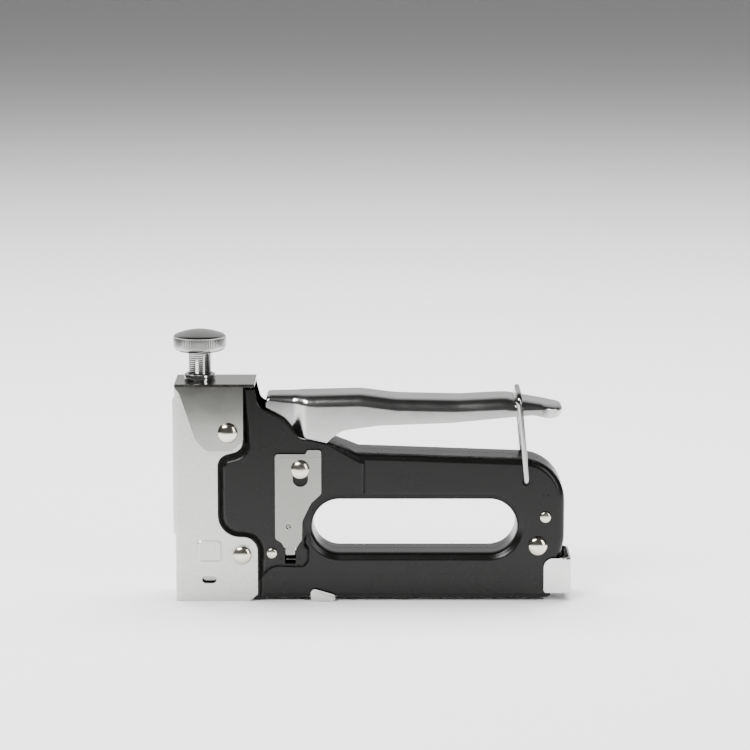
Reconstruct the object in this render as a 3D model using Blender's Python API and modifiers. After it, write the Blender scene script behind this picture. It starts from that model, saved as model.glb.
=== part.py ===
"""Hand staple gun for 4 to 14 mm staples: pressed steel body halves, a squeeze lever, a spring driven
hammer with an adjusting screw, and a magazine that hinges down at the rear.

Sizes are in millimetres and the model is built in metres. X runs from the nose (-X) to the rear (+X),
Y across the gun and Z up. The gun stands on Z = 0, with its outer box centred on X = 0 and Y = 0.
"""

import math

import bmesh
import bpy
from mathutils import Matrix, Vector

MM = 0.001

# Overall sizes
GUN_LENGTH = 151.8
HEAD_HEIGHT = 84.0
BODY_HALF_WIDTH = 10.0

# Sheet metal and clearances
SHEET = 1.0
LEVER_SHEET = 1.2
GAP = 0.3
RUNNING_CLEARANCE = 0.5
BEAD_DEPTH = 1.4

# Named places along the gun
NOSE = -GUN_LENGTH / 2 + BEAD_DEPTH
TAIL = GUN_LENGTH / 2
TOP = HEAD_HEIGHT

# Half widths, from the inside out
HEAD_INNER = BODY_HALF_WIDTH - 2.0
HEAD_OUTER = HEAD_INNER + SHEET
CHANNEL_INNER = HEAD_OUTER + GAP
CHANNEL_OUTER = CHANNEL_INNER + SHEET
CAP_INNER = CHANNEL_OUTER + GAP
CAP_OUTER = CAP_INNER + SHEET
PANEL_OUTER = BODY_HALF_WIDTH + 1.5
PANEL_INNER = PANEL_OUTER - SHEET
GRIP_INNER = BODY_HALF_WIDTH - SHEET
PLATE_SHEET = 0.8
PLATE_INNER = PANEL_OUTER + GAP
PLATE_OUTER = PLATE_INNER + PLATE_SHEET
SPLIT = GAP / 2

# Finger opening, a slot with round ends
OPENING_LEFT = NOSE + 52.0
OPENING_RIGHT = TAIL - 20.9
OPENING_LOW = 18.5
OPENING_HIGH = TOP - 44.9
OPENING_FLARE = 2.0
OPENING_FLARE_DEPTH = 2.5

# Lever and its pivot
PIVOT_X = NOSE + 47.5
PIVOT_Z = TOP - 32.4
PIVOT_PIN_RADIUS = 2.5
PIVOT_HEAD_RADIUS = PIVOT_PIN_RADIUS + 1.1
PIVOT_SLOT_HALF_WIDTH = PIVOT_PIN_RADIUS + 0.4
LEVER_HALF_WIDTH = PANEL_INNER - RUNNING_CLEARANCE
LEVER_NOSE_HALF_WIDTH = HEAD_INNER - RUNNING_CLEARANCE
LEVER_TOP_ROUND = 3.0
LEVER_BOSS_RADIUS = 6.4
ARM_REACH = 31.0
ARM_HALF_THICKNESS = 3.0

# Bail that locks the lever down
BAIL_WIRE = 2.2
BAIL_X = TAIL - 17.5
BAIL_Z = TOP - 37.8
BAIL_RADIUS = 33.5
BAIL_LEAN = math.radians(5.1)
BAIL_HALF_WIDTH = LEVER_HALF_WIDTH + RUNNING_CLEARANCE + BAIL_WIRE / 2

# Hammer line: screw, seat, spring, hammer and driver blade
HAMMER_X = NOSE + 9.3
SCREW_RADIUS = 4.3
BUSH_SHANK_RADIUS = 5.4
BUSH_COLLAR_RADIUS = 6.0
BUSH_COLLAR_HEIGHT = 2.2
KNOB_RADIUS = 10.0
KNOB_HEIGHT = 6.0
KNOB_DOME = 2.0
KNOB_LIFT = 8.8
SEAT_RADIUS = 5.8
SEAT_HEIGHT = 3.0
MAIN_SPRING_RADIUS = 4.9
MAIN_SPRING_WIRE = 1.6
MAIN_SPRING_TURNS = 7
HAMMER_LOW = 18.0
HAMMER_HIGH = 42.0
HAMMER_HALF_LENGTH = 6.0
HAMMER_HALF_WIDTH = 6.0
BLADE_THICKNESS = 1.0
BLADE_HALF_WIDTH = 5.6
BLADE_LOW = 1.5

# Magazine and pusher
MAGAZINE_HALF_WIDTH = HEAD_INNER - 2 * GAP
MAGAZINE_LOW = 1.2
MAGAZINE_HIGH = 15.8
MAGAZINE_SHEET = 0.8
RAIL_HALF_WIDTH = MAGAZINE_HALF_WIDTH * 4.7 / 7.4
RAIL_HIGH = 13.2
ROD_Z = 8.5
PUSHER_SPRING_RADIUS = (RAIL_HALF_WIDTH - MAGAZINE_SHEET) * 2 / 3
ROD_RADIUS = PUSHER_SPRING_RADIUS - 1.1
PUSHER_SPRING_WIRE = 0.8
PUSHER_SPRING_TURNS = 14
FOLLOWER_LENGTH = 12.0
FOLLOWER_HALF_WIDTH = MAGAZINE_HALF_WIDTH - MAGAZINE_SHEET - 0.7
HINGE_X = TAIL - 12.9
HINGE_Z = 21.45
HINGE_PIN_RADIUS = 2.0
END_CAP_LENGTH = 10.6
END_CAP_LOW = 3.5
END_CAP_HIGH = 16.9
CATCH_LEFT = NOSE + 51.3
CATCH_RIGHT = NOSE + 60.6
SIGHT_SLOT = (NOSE + 9.9, NOSE + 15.4, 6.95, 9.8)

# Rivets: place, shank radius, head radius
NOSE_RIVET = (NOSE + 25.3, 18.1, 1.8, 3.6)
CAP_RIVET = (NOSE + 20.2, TOP - 18.5, 1.8, 3.8)
FRONT_RIVET = (NOSE + 36.6, 19.1, 1.3, 1.95)
REAR_RIVET = (TAIL - 10.1, 32.7, 1.3, 2.1)
DOME_SHARE = 0.55
SPACER_WALL = 1.2

ARC_STEP = math.radians(30.0)
ROUND_STEPS = 2
FAR = 40.0

# Finishes: base colour, roughness, metallic
BLACK_PAINT = ((0.025, 0.025, 0.023), 0.35, 0.0)
SILVER_PLATE = ((0.66, 0.66, 0.63), 0.42, 1.0)
SATIN_STEEL = ((0.45, 0.45, 0.43), 0.38, 1.0)
CHROME = ((0.75, 0.75, 0.75), 0.12, 1.0)
NICKEL = ((0.72, 0.68, 0.60), 0.18, 1.0)
DARK_STEEL = ((0.30, 0.29, 0.28), 0.40, 1.0)


def clear_scene():
    for obj in list(bpy.data.objects):
        bpy.data.objects.remove(obj)


def new_collection(name):
    collection = bpy.data.collections.new(name)
    bpy.context.scene.collection.children.link(collection)
    return collection


def finish(obj, look):
    """Gives the object a material of its own with this colour, roughness and metallic value."""
    colour, roughness, metallic = look
    material = bpy.data.materials.new(obj.name)
    material.use_nodes = True
    shader = material.node_tree.nodes["Principled BSDF"]
    shader.inputs["Base Color"].default_value = (*colour, 1.0)
    shader.inputs["Roughness"].default_value = roughness
    shader.inputs["Metallic"].default_value = metallic
    obj.data.materials.clear()
    obj.data.materials.append(material)


def add_object(name, data):
    obj = bpy.data.objects.new(name, data)
    GUN.objects.link(obj)
    return obj


def as_tool(obj):
    """Makes the object a cutter or filler for a Boolean, which isn't part of the gun."""
    GUN.objects.unlink(obj)
    TOOLS.objects.link(obj)
    obj.hide_render = True
    obj.display_type = "WIRE"
    return obj


def combine(target, tool, operation):
    modifier = target.modifiers.new(tool.name, "BOOLEAN")
    modifier.operation = operation
    modifier.object = tool


def join(target, tool):
    combine(target, as_tool(tool), "UNION")


def cut(target, tool):
    combine(target, as_tool(tool), "DIFFERENCE")


def axis_empty(name, x, z):
    """An empty on a joint's axis, which carries the pieces that move about it."""
    empty = bpy.data.objects.new(name, None)
    empty.location = (x * MM, 0.0, z * MM)
    GUN.objects.link(empty)
    return empty


def carry(empty, pieces):
    for piece in pieces:
        piece.parent = empty
        piece.matrix_parent_inverse = Matrix.Translation(empty.location).inverted()


def outline(corners, inset=0.0):
    """Points of a closed outline, anticlockwise, from its corners (x, z, radius), moved in by inset."""
    points = []
    for index, (x, z, radius) in enumerate(corners):
        corner = Vector((x, z))
        arriving = (corner - Vector(corners[index - 1][:2])).normalized()
        leaving = (Vector(corners[(index + 1) % len(corners)][:2]) - corner).normalized()
        turn = math.atan2(arriving.cross(leaving), arriving.dot(leaving))
        side = Vector((-arriving.y, arriving.x))
        bisector = (side + Vector((-leaving.y, leaving.x))).normalized()
        corner += bisector * inset / math.cos(turn / 2)
        if not radius:
            points.append(corner)
            continue
        bend = 1.0 if turn > 0 else -1.0
        fillet = max(radius - inset * bend, 0.05)
        centre = corner + bisector * bend * fillet / math.cos(turn / 2)
        steps = max(1, round(abs(turn) / ARC_STEP))
        for step in range(steps + 1):
            spoke = Matrix.Rotation(turn * step / steps, 2) @ (side * -bend)
            points.append(centre + spoke * fillet)
    return points


def slot_outline(left, right, low, high, inset=0.0):
    """Points of a level slot with round ends, anticlockwise."""
    radius = (high - low) / 2
    middle = (high + low) / 2
    steps = 8
    points = []
    for centre, start in ((right - radius, -math.pi / 2), (left + radius, math.pi / 2)):
        for step in range(steps + 1):
            angle = start + math.pi * step / steps
            reach = radius - inset
            points.append(Vector((centre + reach * math.cos(angle), middle + reach * math.sin(angle))))
    return points


def circle_outline(x, z, radius, steps=14):
    angles = [2 * math.pi * step / steps for step in range(steps)]
    return [Vector((x + radius * math.cos(a), z + radius * math.sin(a))) for a in angles]


def box_corners(left, right, low, high, radius=0.0):
    return [(left, low, radius), (right, low, radius), (right, high, radius), (left, high, radius)]


def fill_rings(shape, rings):
    """Skins a stack of rings of vertices and closes both ends."""
    for ring, following in zip(rings, rings[1:]):
        for index in range(len(ring)):
            after = (index + 1) % len(ring)
            shape.faces.new((ring[index], following[index], following[after], ring[after]))
    shape.faces.new(rings[0])
    shape.faces.new(reversed(rings[-1]))


def stack(name, *solids):
    """A solid lofted through layers (y, outline) from the lowest y up; several make separate bodies."""
    shape = bmesh.new()
    for layers in solids:
        rings = []
        for y, points in layers:
            rings.append([shape.verts.new((x * MM, y * MM, z * MM)) for x, z in points])
        fill_rings(shape, rings)
    bmesh.ops.recalc_face_normals(shape, faces=shape.faces)
    mesh = bpy.data.meshes.new(name)
    shape.to_mesh(mesh)
    shape.free()
    return add_object(name, mesh)


def slab(y_low, y_high, points):
    return [(y_low, points), (y_high, points)]


def half_layers(side, inner, outer, radius, shape):
    """Layers of one side of the gun, from inner to outer, with the outer edge rounded over."""
    first = 0 if radius else ROUND_STEPS
    rim = []
    for step in range(first, ROUND_STEPS + 1):
        turn = math.pi / 2 * step / ROUND_STEPS
        rim.append((outer - radius * (1 - math.cos(turn)), shape(radius * (1 - math.sin(turn)))))
    layers = [*rim, (inner, shape(0.0))]
    if side < 0:
        return [(-y, points) for y, points in layers]
    return list(reversed(layers))


def full_layers(outer, radius, shape):
    """Layers right across the gun, with both outer edges rounded over."""
    return half_layers(-1, 0.0, outer, radius, shape)[:-1] + half_layers(1, 0.0, outer, radius, shape)[1:]


def across(side, low, high):
    """The range of y between two half widths on one side of the gun."""
    return (low, high) if side > 0 else (-high, -low)


def drill(name, holes, y_low=-FAR, y_high=FAR):
    """One cutter with a round bar across the gun for each hole (x, z, radius)."""
    return stack(name, *[slab(y_low, y_high, circle_outline(*hole)) for hole in holes])


def dome(head_radius, height, base):
    """Profile (radius, height) of a domed head, from its crown down to its rim."""
    points = []
    for step in range(4):
        angle = math.pi / 2 * step / 3
        points.append((head_radius * math.sin(angle), base + height * math.cos(angle)))
    return points


def turned(name, profile, x, z, y=0.0, along="Z", closed=False, steps=16):
    """A turned piece: the profile (radius, height) runs down its outer side, about a vertical axis
    or, with along "+Y" or "-Y", about an axis across the gun whose height points that way."""
    mesh = bpy.data.meshes.new(name)
    edges = [(index, index + 1) for index in range(len(profile) - 1)]
    if closed:
        edges.append((len(profile) - 1, 0))
    mesh.from_pydata([(radius * MM, 0.0, height * MM) for radius, height in profile], edges, [])
    obj = add_object(name, mesh)
    obj.location = (x * MM, y * MM, z * MM)
    obj.rotation_euler.x = {"Z": 0.0, "+Y": -math.pi / 2, "-Y": math.pi / 2}[along]
    screw = obj.modifiers.new("Turn", "SCREW")
    screw.steps = steps
    screw.render_steps = steps
    screw.use_merge_vertices = True
    screw.merge_threshold = 0.00001
    return obj


def wire(name, points, thickness):
    """A round wire through the points, with closed ends."""
    curve = bpy.data.curves.new(name, "CURVE")
    curve.dimensions = "3D"
    curve.bevel_depth = thickness / 2 * MM
    curve.bevel_resolution = 2
    curve.use_fill_caps = True
    spline = curve.splines.new("POLY")
    spline.points.add(len(points) - 1)
    for point, place in zip(spline.points, points):
        point.co = (*(Vector(place) * MM), 1.0)
    return add_object(name, curve)


def channel_rear():
    """Corners down the rear edge of the front channel, which the raised panel follows."""
    return [
        (NOSE + 25.7, TOP - 25.4, 3.8),
        (NOSE + 16.1, TOP - 28.0, 4.2),
        (NOSE + 16.1, 24.9, 9.0),
        (NOSE + 31.1, 24.9, 4.5),
    ]


def panel_corners():
    """Raised panel of the shells, behind the front channel, from its lower left corner anticlockwise."""
    lifts = (-GAP, -GAP, GAP / 2, GAP / 2)
    shifted = [(x + GAP, z + lift, radius) for (x, z, radius), lift in zip(channel_rear(), lifts)]
    return [
        (NOSE + 31.4, 6.0, 1.5),
        (NOSE + 37.3, 12.0, 3.0),
        (NOSE + 49.6, 11.8, 3.0),
        (OPENING_LEFT, 15.0, 2.5),
        (OPENING_LEFT + 0.1, 21.2, 2.0),
        (NOSE + 49.2, 24.9, 1.5),
        (NOSE + 73.3, 24.9, 0.0),
        (NOSE + 73.3, TOP - 28.5, 1.5),
        (NOSE + 57.7, TOP - 22.3, 4.0),
        (PIVOT_X - 0.2, TOP - 20.0, 2.0),
        (NOSE + 41.9, TOP - 13.3, 9.0),
        (NOSE + 32.4, TOP - 8.4, 2.5),
        (NOSE + 30.6, TOP - SHEET - GAP, 0.5),
        (NOSE + 26.3, TOP - SHEET - GAP, 0.5),
        *shifted,
    ]


def grip_corners(low):
    """Grip and lower body of the shells, around the finger opening."""
    return [
        (NOSE + 31.4, low, 0.8),
        (TAIL - 8.0, low, 1.5),
        (TAIL - 2.8, 23.8, 6.0),
        (TAIL - 2.8, TOP - 29.4, 16.5),
        (NOSE + 68.2, TOP - 26.6, 3.0),
        (NOSE + 58.2, TOP - 22.8, 1.0),
        (NOSE + 31.4, TOP - 22.8, 1.0),
    ]


def opening_outline(grow):
    return slot_outline(OPENING_LEFT, OPENING_RIGHT, OPENING_LOW, OPENING_HIGH, -grow)


def body_shell(name, side):
    """One pressed half of the body: a narrow head, a raised panel and a grip round the finger opening."""
    head = box_corners(NOSE + 3.5, NOSE + 44.0, 0.6, TOP - 1.5)
    shell = stack(name, half_layers(side, SPLIT, HEAD_OUTER, 0.0, lambda inset: outline(head, inset)))
    panel = half_layers(side, SPLIT, PANEL_OUTER, 1.4, lambda inset: outline(panel_corners(), inset))
    grip = half_layers(side, SPLIT, BODY_HALF_WIDTH, 1.8, lambda inset: outline(grip_corners(0.6), inset))
    join(shell, stack(name + "_panel", panel))
    join(shell, stack(name + "_grip", grip))

    head_space = box_corners(NOSE - 5.0, NOSE + 45.0, -5.0, TOP + 5.0)
    cut(shell, stack(name + "_head_space", slab(-HEAD_INNER, HEAD_INNER, outline(head_space))))
    panel_space = outline(panel_corners(), SHEET)
    cut(shell, stack(name + "_panel_space", slab(-PANEL_INNER, PANEL_INNER, panel_space)))
    grip_space = outline(grip_corners(-5.0), SHEET)
    cut(shell, stack(name + "_grip_space", slab(-GRIP_INNER, GRIP_INNER, grip_space)))
    lever_way = box_corners(NOSE + 27.5, NOSE + 58.2, TOP - 27.5, TOP + 5.0)
    cut(shell, stack(name + "_lever_way", slab(-PANEL_INNER, PANEL_INNER, outline(lever_way))))

    lip_depths = ((SPLIT, 0.0), (BODY_HALF_WIDTH - OPENING_FLARE_DEPTH, 0.0), (BODY_HALF_WIDTH, 1.0))
    lip = [(side * y, opening_outline(SHEET + OPENING_FLARE * flare)) for y, flare in lip_depths]
    join(shell, stack(name + "_lip", lip if side > 0 else lip[::-1]))
    hole_depths = ((-1.0, 0.0), (BODY_HALF_WIDTH - OPENING_FLARE_DEPTH, 0.0), (BODY_HALF_WIDTH, 1.0))
    hole = [(side * y, opening_outline(OPENING_FLARE * flare)) for y, flare in hole_depths]
    hole.append((side * FAR, opening_outline(OPENING_FLARE)))
    cut(shell, stack(name + "_hole", hole if side > 0 else hole[::-1]))

    magazine_way = box_corners(TAIL - 16.0, TAIL + 5.0, -5.0, END_CAP_HIGH + GAP)
    reach = MAGAZINE_HALF_WIDTH + 1.0
    cut(shell, stack(name + "_magazine_way", slab(-reach, reach, outline(magazine_way))))
    window = box_corners(NOSE + 41.5, NOSE + 45.7, 14.9, 22.2, 0.6)
    catch_notch = box_corners(CATCH_LEFT - RUNNING_CLEARANCE, CATCH_RIGHT + RUNNING_CLEARANCE, -5.0, 2.0)
    sight = slot_outline(*SIGHT_SLOT)
    cutters = [slab(-FAR, FAR, outline(window)), slab(-FAR, FAR, outline(catch_notch)), slab(-FAR, FAR, sight)]
    cut(shell, stack(name + "_windows", *cutters))
    holes = [
        (PIVOT_X, PIVOT_Z, PIVOT_PIN_RADIUS + GAP),
        (BAIL_X, BAIL_Z, BAIL_WIRE / 2 + GAP),
        (HINGE_X, HINGE_Z, HINGE_PIN_RADIUS + GAP),
    ]
    for x, z, shank, _ in (NOSE_RIVET, CAP_RIVET, FRONT_RIVET, REAR_RIVET):
        holes.append((x, z, shank + GAP))
    cut(shell, drill(name + "_holes", holes))
    finish(shell, BLACK_PAINT)
    return shell


def channel_outline(inset):
    """Side of the front channel; inset pulls in only its front edge."""
    rear = channel_rear()
    corners = [
        (NOSE + inset, 0.0, 0.0),
        (NOSE + 28.0, 0.0, 0.0),
        (NOSE + 31.1, 2.7, 0.0),
        *reversed(rear),
        (NOSE + 25.7, TOP - SHEET - GAP, 0.0),
        (NOSE + inset, TOP - SHEET - GAP, 0.0),
    ]
    return outline(corners)


def front_channel():
    """Folded sheet that wraps the head, with a bead down its front and a square boss on each side."""
    channel = stack("front_channel", full_layers(CHANNEL_OUTER, 1.6, channel_outline))
    inside = box_corners(NOSE + SHEET, NOSE + 50.0, -5.0, TOP + 5.0)
    cut(channel, stack("channel_space", slab(-CHANNEL_INNER, CHANNEL_INNER, outline(inside))))
    bead = [(NOSE - BEAD_DEPTH, 25.0, 0.0), (NOSE + 0.5, 21.5, 0.0), (NOSE + 0.5, TOP - 4.5, 0.0)]
    bead.append((NOSE - BEAD_DEPTH, TOP - 8.0, 0.0))
    join(channel, stack("channel_bead", slab(-3.2, 3.2, outline(bead))))
    boss = box_corners(NOSE + 8.0, NOSE + 17.7, 15.3, 23.8, 1.4)
    for side in (-1, 1):
        layers = half_layers(side, CHANNEL_OUTER - 0.4, CHANNEL_OUTER + 0.25, 0.3, lambda i: outline(boss, i))
        join(channel, stack(f"channel_boss_{side}", layers))
    cut(channel, stack("channel_sight", slab(-FAR, FAR, slot_outline(*SIGHT_SLOT))))
    holes = [(x, z, shank + GAP) for x, z, shank, _ in (NOSE_RIVET, CAP_RIVET)]
    cut(channel, drill("channel_holes", holes))
    finish(channel, SILVER_PLATE)


def top_cap():
    """Folded cap over the head, with a hole for the threaded bush."""
    low = TOP - 25.6
    corners = [
        (NOSE + 0.1, TOP - 1.0, 0.0),
        (NOSE + 1.9, TOP - 3.3, 0.5),
        (NOSE + 8.0, TOP - 21.3, 3.0),
        (NOSE + 12.2, low, 2.0),
        (NOSE + 21.5, low, 2.0),
        (NOSE + 25.95, TOP - 21.8, 2.0),
        (NOSE + 25.95, TOP - SHEET, 0.0),
        (NOSE + 30.4, TOP - SHEET, 0.0),
        (NOSE + 30.4, TOP, 0.4),
        (NOSE + 0.1, TOP, 0.4),
    ]
    cap = stack("top_cap", slab(-CAP_OUTER, CAP_OUTER, outline(corners)))
    inside = box_corners(NOSE - 5.0, NOSE + 50.0, -5.0, TOP - SHEET)
    cut(cap, stack("cap_space", slab(-CAP_INNER, CAP_INNER, outline(inside))))
    bore = turned("cap_bore", plain_bar(BUSH_SHANK_RADIUS + GAP, TOP - 5.0, TOP + 5.0), HAMMER_X, 0.0)
    cut(cap, bore)
    x, z, shank, _ = CAP_RIVET
    cut(cap, drill("cap_holes", [(x, z, shank + GAP)]))
    bevel = cap.modifiers.new("Edge", "BEVEL")
    bevel.width = 0.3 * MM
    bevel.segments = 1
    bevel.limit_method = "ANGLE"
    finish(cap, SATIN_STEEL)


def plain_bar(radius, low, high):
    return [(0.0, high), (radius, high), (radius, low), (0.0, low)]


def ring(inner, outer, low, high):
    return [(inner, high), (outer, high), (outer, low), (inner, low)]


def pivot_plate(name, side):
    """Plate under the lever's pivot, with a slot below the pin and a tongue that hooks in the window."""
    corners = [
        (NOSE + 41.3, 21.2, 0.6),
        (NOSE + 46.0, 21.2, 0.6),
        (NOSE + 48.1, 24.4, 1.0),
        (NOSE + 48.2, 31.5, 3.0),
        (NOSE + 51.6, 38.5, 2.0),
        (NOSE + 55.4, 42.0, 1.5),
        (NOSE + 55.4, PIVOT_Z + 7.6, 1.2),
        (NOSE + 50.0, PIVOT_Z + 7.6, 0.8),
        (NOSE + 49.2, PIVOT_Z + 6.0, 0.5),
        (NOSE + 37.9, PIVOT_Z + 6.0, 1.2),
        (NOSE + 37.9, 24.6, 1.2),
        (NOSE + 40.2, 23.2, 0.8),
    ]
    low, high = across(side, PLATE_INNER, PLATE_OUTER)
    plate = stack(name, slab(low, high, outline(corners)))
    hook = box_corners(NOSE + 41.8, NOSE + 45.4, 18.4, 21.9, 0.4)
    low, high = across(side, PANEL_INNER + 0.2, PLATE_INNER + 0.3)
    join(plate, stack(name + "_hook", slab(low, high, outline(hook))))
    half = PIVOT_SLOT_HALF_WIDTH
    slot = box_corners(PIVOT_X - half, PIVOT_X + half, PIVOT_Z - 6.6, PIVOT_Z + half, half - 0.1)
    cut(plate, stack(name + "_slot", slab(-FAR, FAR, outline(slot))))
    finish(plate, SATIN_STEEL)


def through_rivet(name, rivet, seat, height, look):
    """A rivet right through the gun with a domed head seated at this half width on each side."""
    x, z, shank, head = rivet
    near = dome(head, height, seat)
    profile = [*near, (shank, seat), (shank, -seat)]
    profile += [(radius, -y) for radius, y in reversed(near)]
    piece = turned(name, profile, x, z, along="+Y")
    finish(piece, look)
    return piece


def cap_rivet(name, side):
    """A short rivet that joins the cap, the front channel and one shell, clear of the lever inside."""
    x, z, shank, head = CAP_RIVET
    seat = CAP_OUTER + GAP
    profile = [*dome(head, head * DOME_SHARE, seat), (shank, seat), (shank, HEAD_INNER + 0.1)]
    profile.append((0.0, HEAD_INNER + 0.1))
    finish(turned(name, profile, x, z, along="+Y" if side > 0 else "-Y"), NICKEL)


def spacer(name, rivet, half_length):
    x, z, shank, _ = rivet
    profile = ring(shank + GAP, shank + GAP + SPACER_WALL, -half_length, half_length)
    finish(turned(name, profile, x, z, along="+Y", closed=True), DARK_STEEL)


def lever_side(drop):
    """Side of the squeeze lever; drop lowers only its top edge."""
    low = PIVOT_Z - LEVER_BOSS_RADIUS
    corners = [
        (PIVOT_X - LEVER_BOSS_RADIUS, low, 6.0),
        (PIVOT_X + LEVER_BOSS_RADIUS, low, 6.0),
        (PIVOT_X + 9.5, TOP - 22.5, 5.0),
        (PIVOT_X + 16.0, TOP - 18.2, 5.0),
        (PIVOT_X + 30.0, TOP - 16.0, 8.0),
        (TAIL - 46.0, TOP - 15.0, 8.0),
        (TAIL - 15.0, TOP - 12.0, 6.0),
        (TAIL - 8.5, TOP - 13.4, 3.0),
        (TAIL - 4.0, TOP - 13.2, 1.6),
        (TAIL - 3.6, TOP - 9.4, 1.2),
        (TAIL - 25.0, TOP - 5.5, 10.0),
        (TAIL - 42.7, TOP - 6.3, 10.0),
        (PIVOT_X + 36.0, TOP - 5.9, 10.0),
        (PIVOT_X + 23.0, TOP - 4.2, 10.0),
        (PIVOT_X, TOP - 4.9, 0.0),
    ]
    points = outline(corners)
    for point in points:
        if point.y > TOP - 9.0:
            point.y -= drop
    return points


def lever():
    """Squeeze lever: a channel open below, narrowed ahead of its pivot so that it swings inside the head."""
    piece = stack("squeeze_lever", full_layers(LEVER_HALF_WIDTH, LEVER_TOP_ROUND, lever_side))
    nose = [
        (PIVOT_X - 13.0, TOP - 10.8, 1.5),
        (PIVOT_X - 5.6, TOP - 15.6, 4.0),
        (PIVOT_X + 1.0, TOP - 22.0, 0.5),
        (PIVOT_X + 1.0, TOP - 4.95, 0.0),
        (PIVOT_X - 13.0, TOP - 4.8, 1.5),
    ]
    join(piece, stack("lever_nose", slab(-LEVER_NOSE_HALF_WIDTH, LEVER_NOSE_HALF_WIDTH, outline(nose))))
    inside = [
        (PIVOT_X - 20.0, PIVOT_Z - 20.0, 0.0),
        (TAIL - 7.0, PIVOT_Z - 20.0, 0.0),
        (TAIL - 7.0, TOP - 10.4, 0.0),
        (TAIL - 25.0, TOP - 5.5 - LEVER_SHEET, 10.0),
        (TAIL - 42.7, TOP - 6.3 - LEVER_SHEET, 10.0),
        (PIVOT_X + 36.0, TOP - 5.9 - LEVER_SHEET, 10.0),
        (PIVOT_X + 23.0, TOP - 4.2 - LEVER_SHEET, 10.0),
        (PIVOT_X + 0.5, TOP - 4.9 - LEVER_SHEET, 0.0),
        (PIVOT_X - 20.0, TOP - 4.9 - LEVER_SHEET, 0.0),
    ]
    half = LEVER_HALF_WIDTH - LEVER_SHEET
    cut(piece, stack("lever_space", slab(-half, half, outline(inside))))
    cut(piece, drill("lever_hole", [(PIVOT_X, PIVOT_Z, PIVOT_PIN_RADIUS + GAP)]))
    finish(piece, CHROME)
    return piece


def lifting_arm():
    """Arm on the lever's pivot that lifts the hammer and slips off it at the end of the squeeze."""
    lift = math.radians(22.5)
    tip = Vector((PIVOT_X - ARM_REACH * math.cos(lift), PIVOT_Z + ARM_REACH * math.sin(lift)))
    corners = [
        (PIVOT_X - 4.0, PIVOT_Z - 5.5, 3.0),
        (PIVOT_X + 6.0, PIVOT_Z - 5.5, 4.0),
        (PIVOT_X + 6.0, PIVOT_Z + 6.0, 4.0),
        (PIVOT_X - 3.0, PIVOT_Z + 8.0, 3.0),
        (tip.x + 2.0, tip.y + 1.0, 1.0),
        (tip.x, tip.y - 0.6, 0.8),
        (tip.x + 1.6, tip.y - 4.0, 1.0),
    ]
    arm = stack("lifting_arm", slab(-ARM_HALF_THICKNESS, ARM_HALF_THICKNESS, outline(corners)))
    cut(arm, drill("arm_hole", [(PIVOT_X, PIVOT_Z, PIVOT_PIN_RADIUS + GAP)]))
    finish(arm, DARK_STEEL)
    return arm


def return_spring():
    """Torsion spring of the lever, round the pivot pin between the arm and the lever's cheek."""
    radius = PIVOT_PIN_RADIUS + 1.3
    turns = 3
    points = [(PIVOT_X + 9.0, ARM_HALF_THICKNESS + 0.9, PIVOT_Z - radius)]
    for step in range(turns * 8 + 1):
        angle = -math.pi / 2 - 2 * math.pi * step / 8
        y = ARM_HALF_THICKNESS + 0.9 + 1.25 * step / 8
        points.append((PIVOT_X + radius * math.cos(angle), y, PIVOT_Z + radius * math.sin(angle)))
    points.append((PIVOT_X + 9.0, points[-1][1], PIVOT_Z - radius))
    finish(wire("lever_return_spring", points, 1.0), DARK_STEEL)


def bail():
    """Wire bail that swings over the lever to lock it down."""
    top_x = BAIL_X - BAIL_RADIUS * math.sin(BAIL_LEAN)
    top_z = BAIL_Z + BAIL_RADIUS * math.cos(BAIL_LEAN)
    bend = 3.0
    corners = []
    for step in range(5):
        angle = math.pi / 2 * step / 4
        corners.append((BAIL_HALF_WIDTH - bend * (1 - math.cos(angle)), bend * (1 - math.sin(angle))))
    points = [(BAIL_X, -HEAD_OUTER, BAIL_Z)]
    points += [(BAIL_X, -BAIL_HALF_WIDTH + 0.6, BAIL_Z), (BAIL_X, -BAIL_HALF_WIDTH, BAIL_Z + 0.7)]
    drop_x = math.sin(BAIL_LEAN)
    drop_z = math.cos(BAIL_LEAN)
    points += [(top_x + d * drop_x, -y, top_z - d * drop_z) for y, d in corners]
    points += [(x, -y, z) for x, y, z in reversed(points)]
    piece = wire("lock_bail", points, BAIL_WIRE)
    finish(piece, CHROME)
    return piece


def helix(radius, start, length, turns, per_turn):
    """Points (across, up, along) of a coil."""
    points = []
    for step in range(turns * per_turn + 1):
        angle = 2 * math.pi * step / per_turn
        along = start + length * step / (turns * per_turn)
        points.append((radius * math.cos(angle), radius * math.sin(angle), along))
    return points


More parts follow.
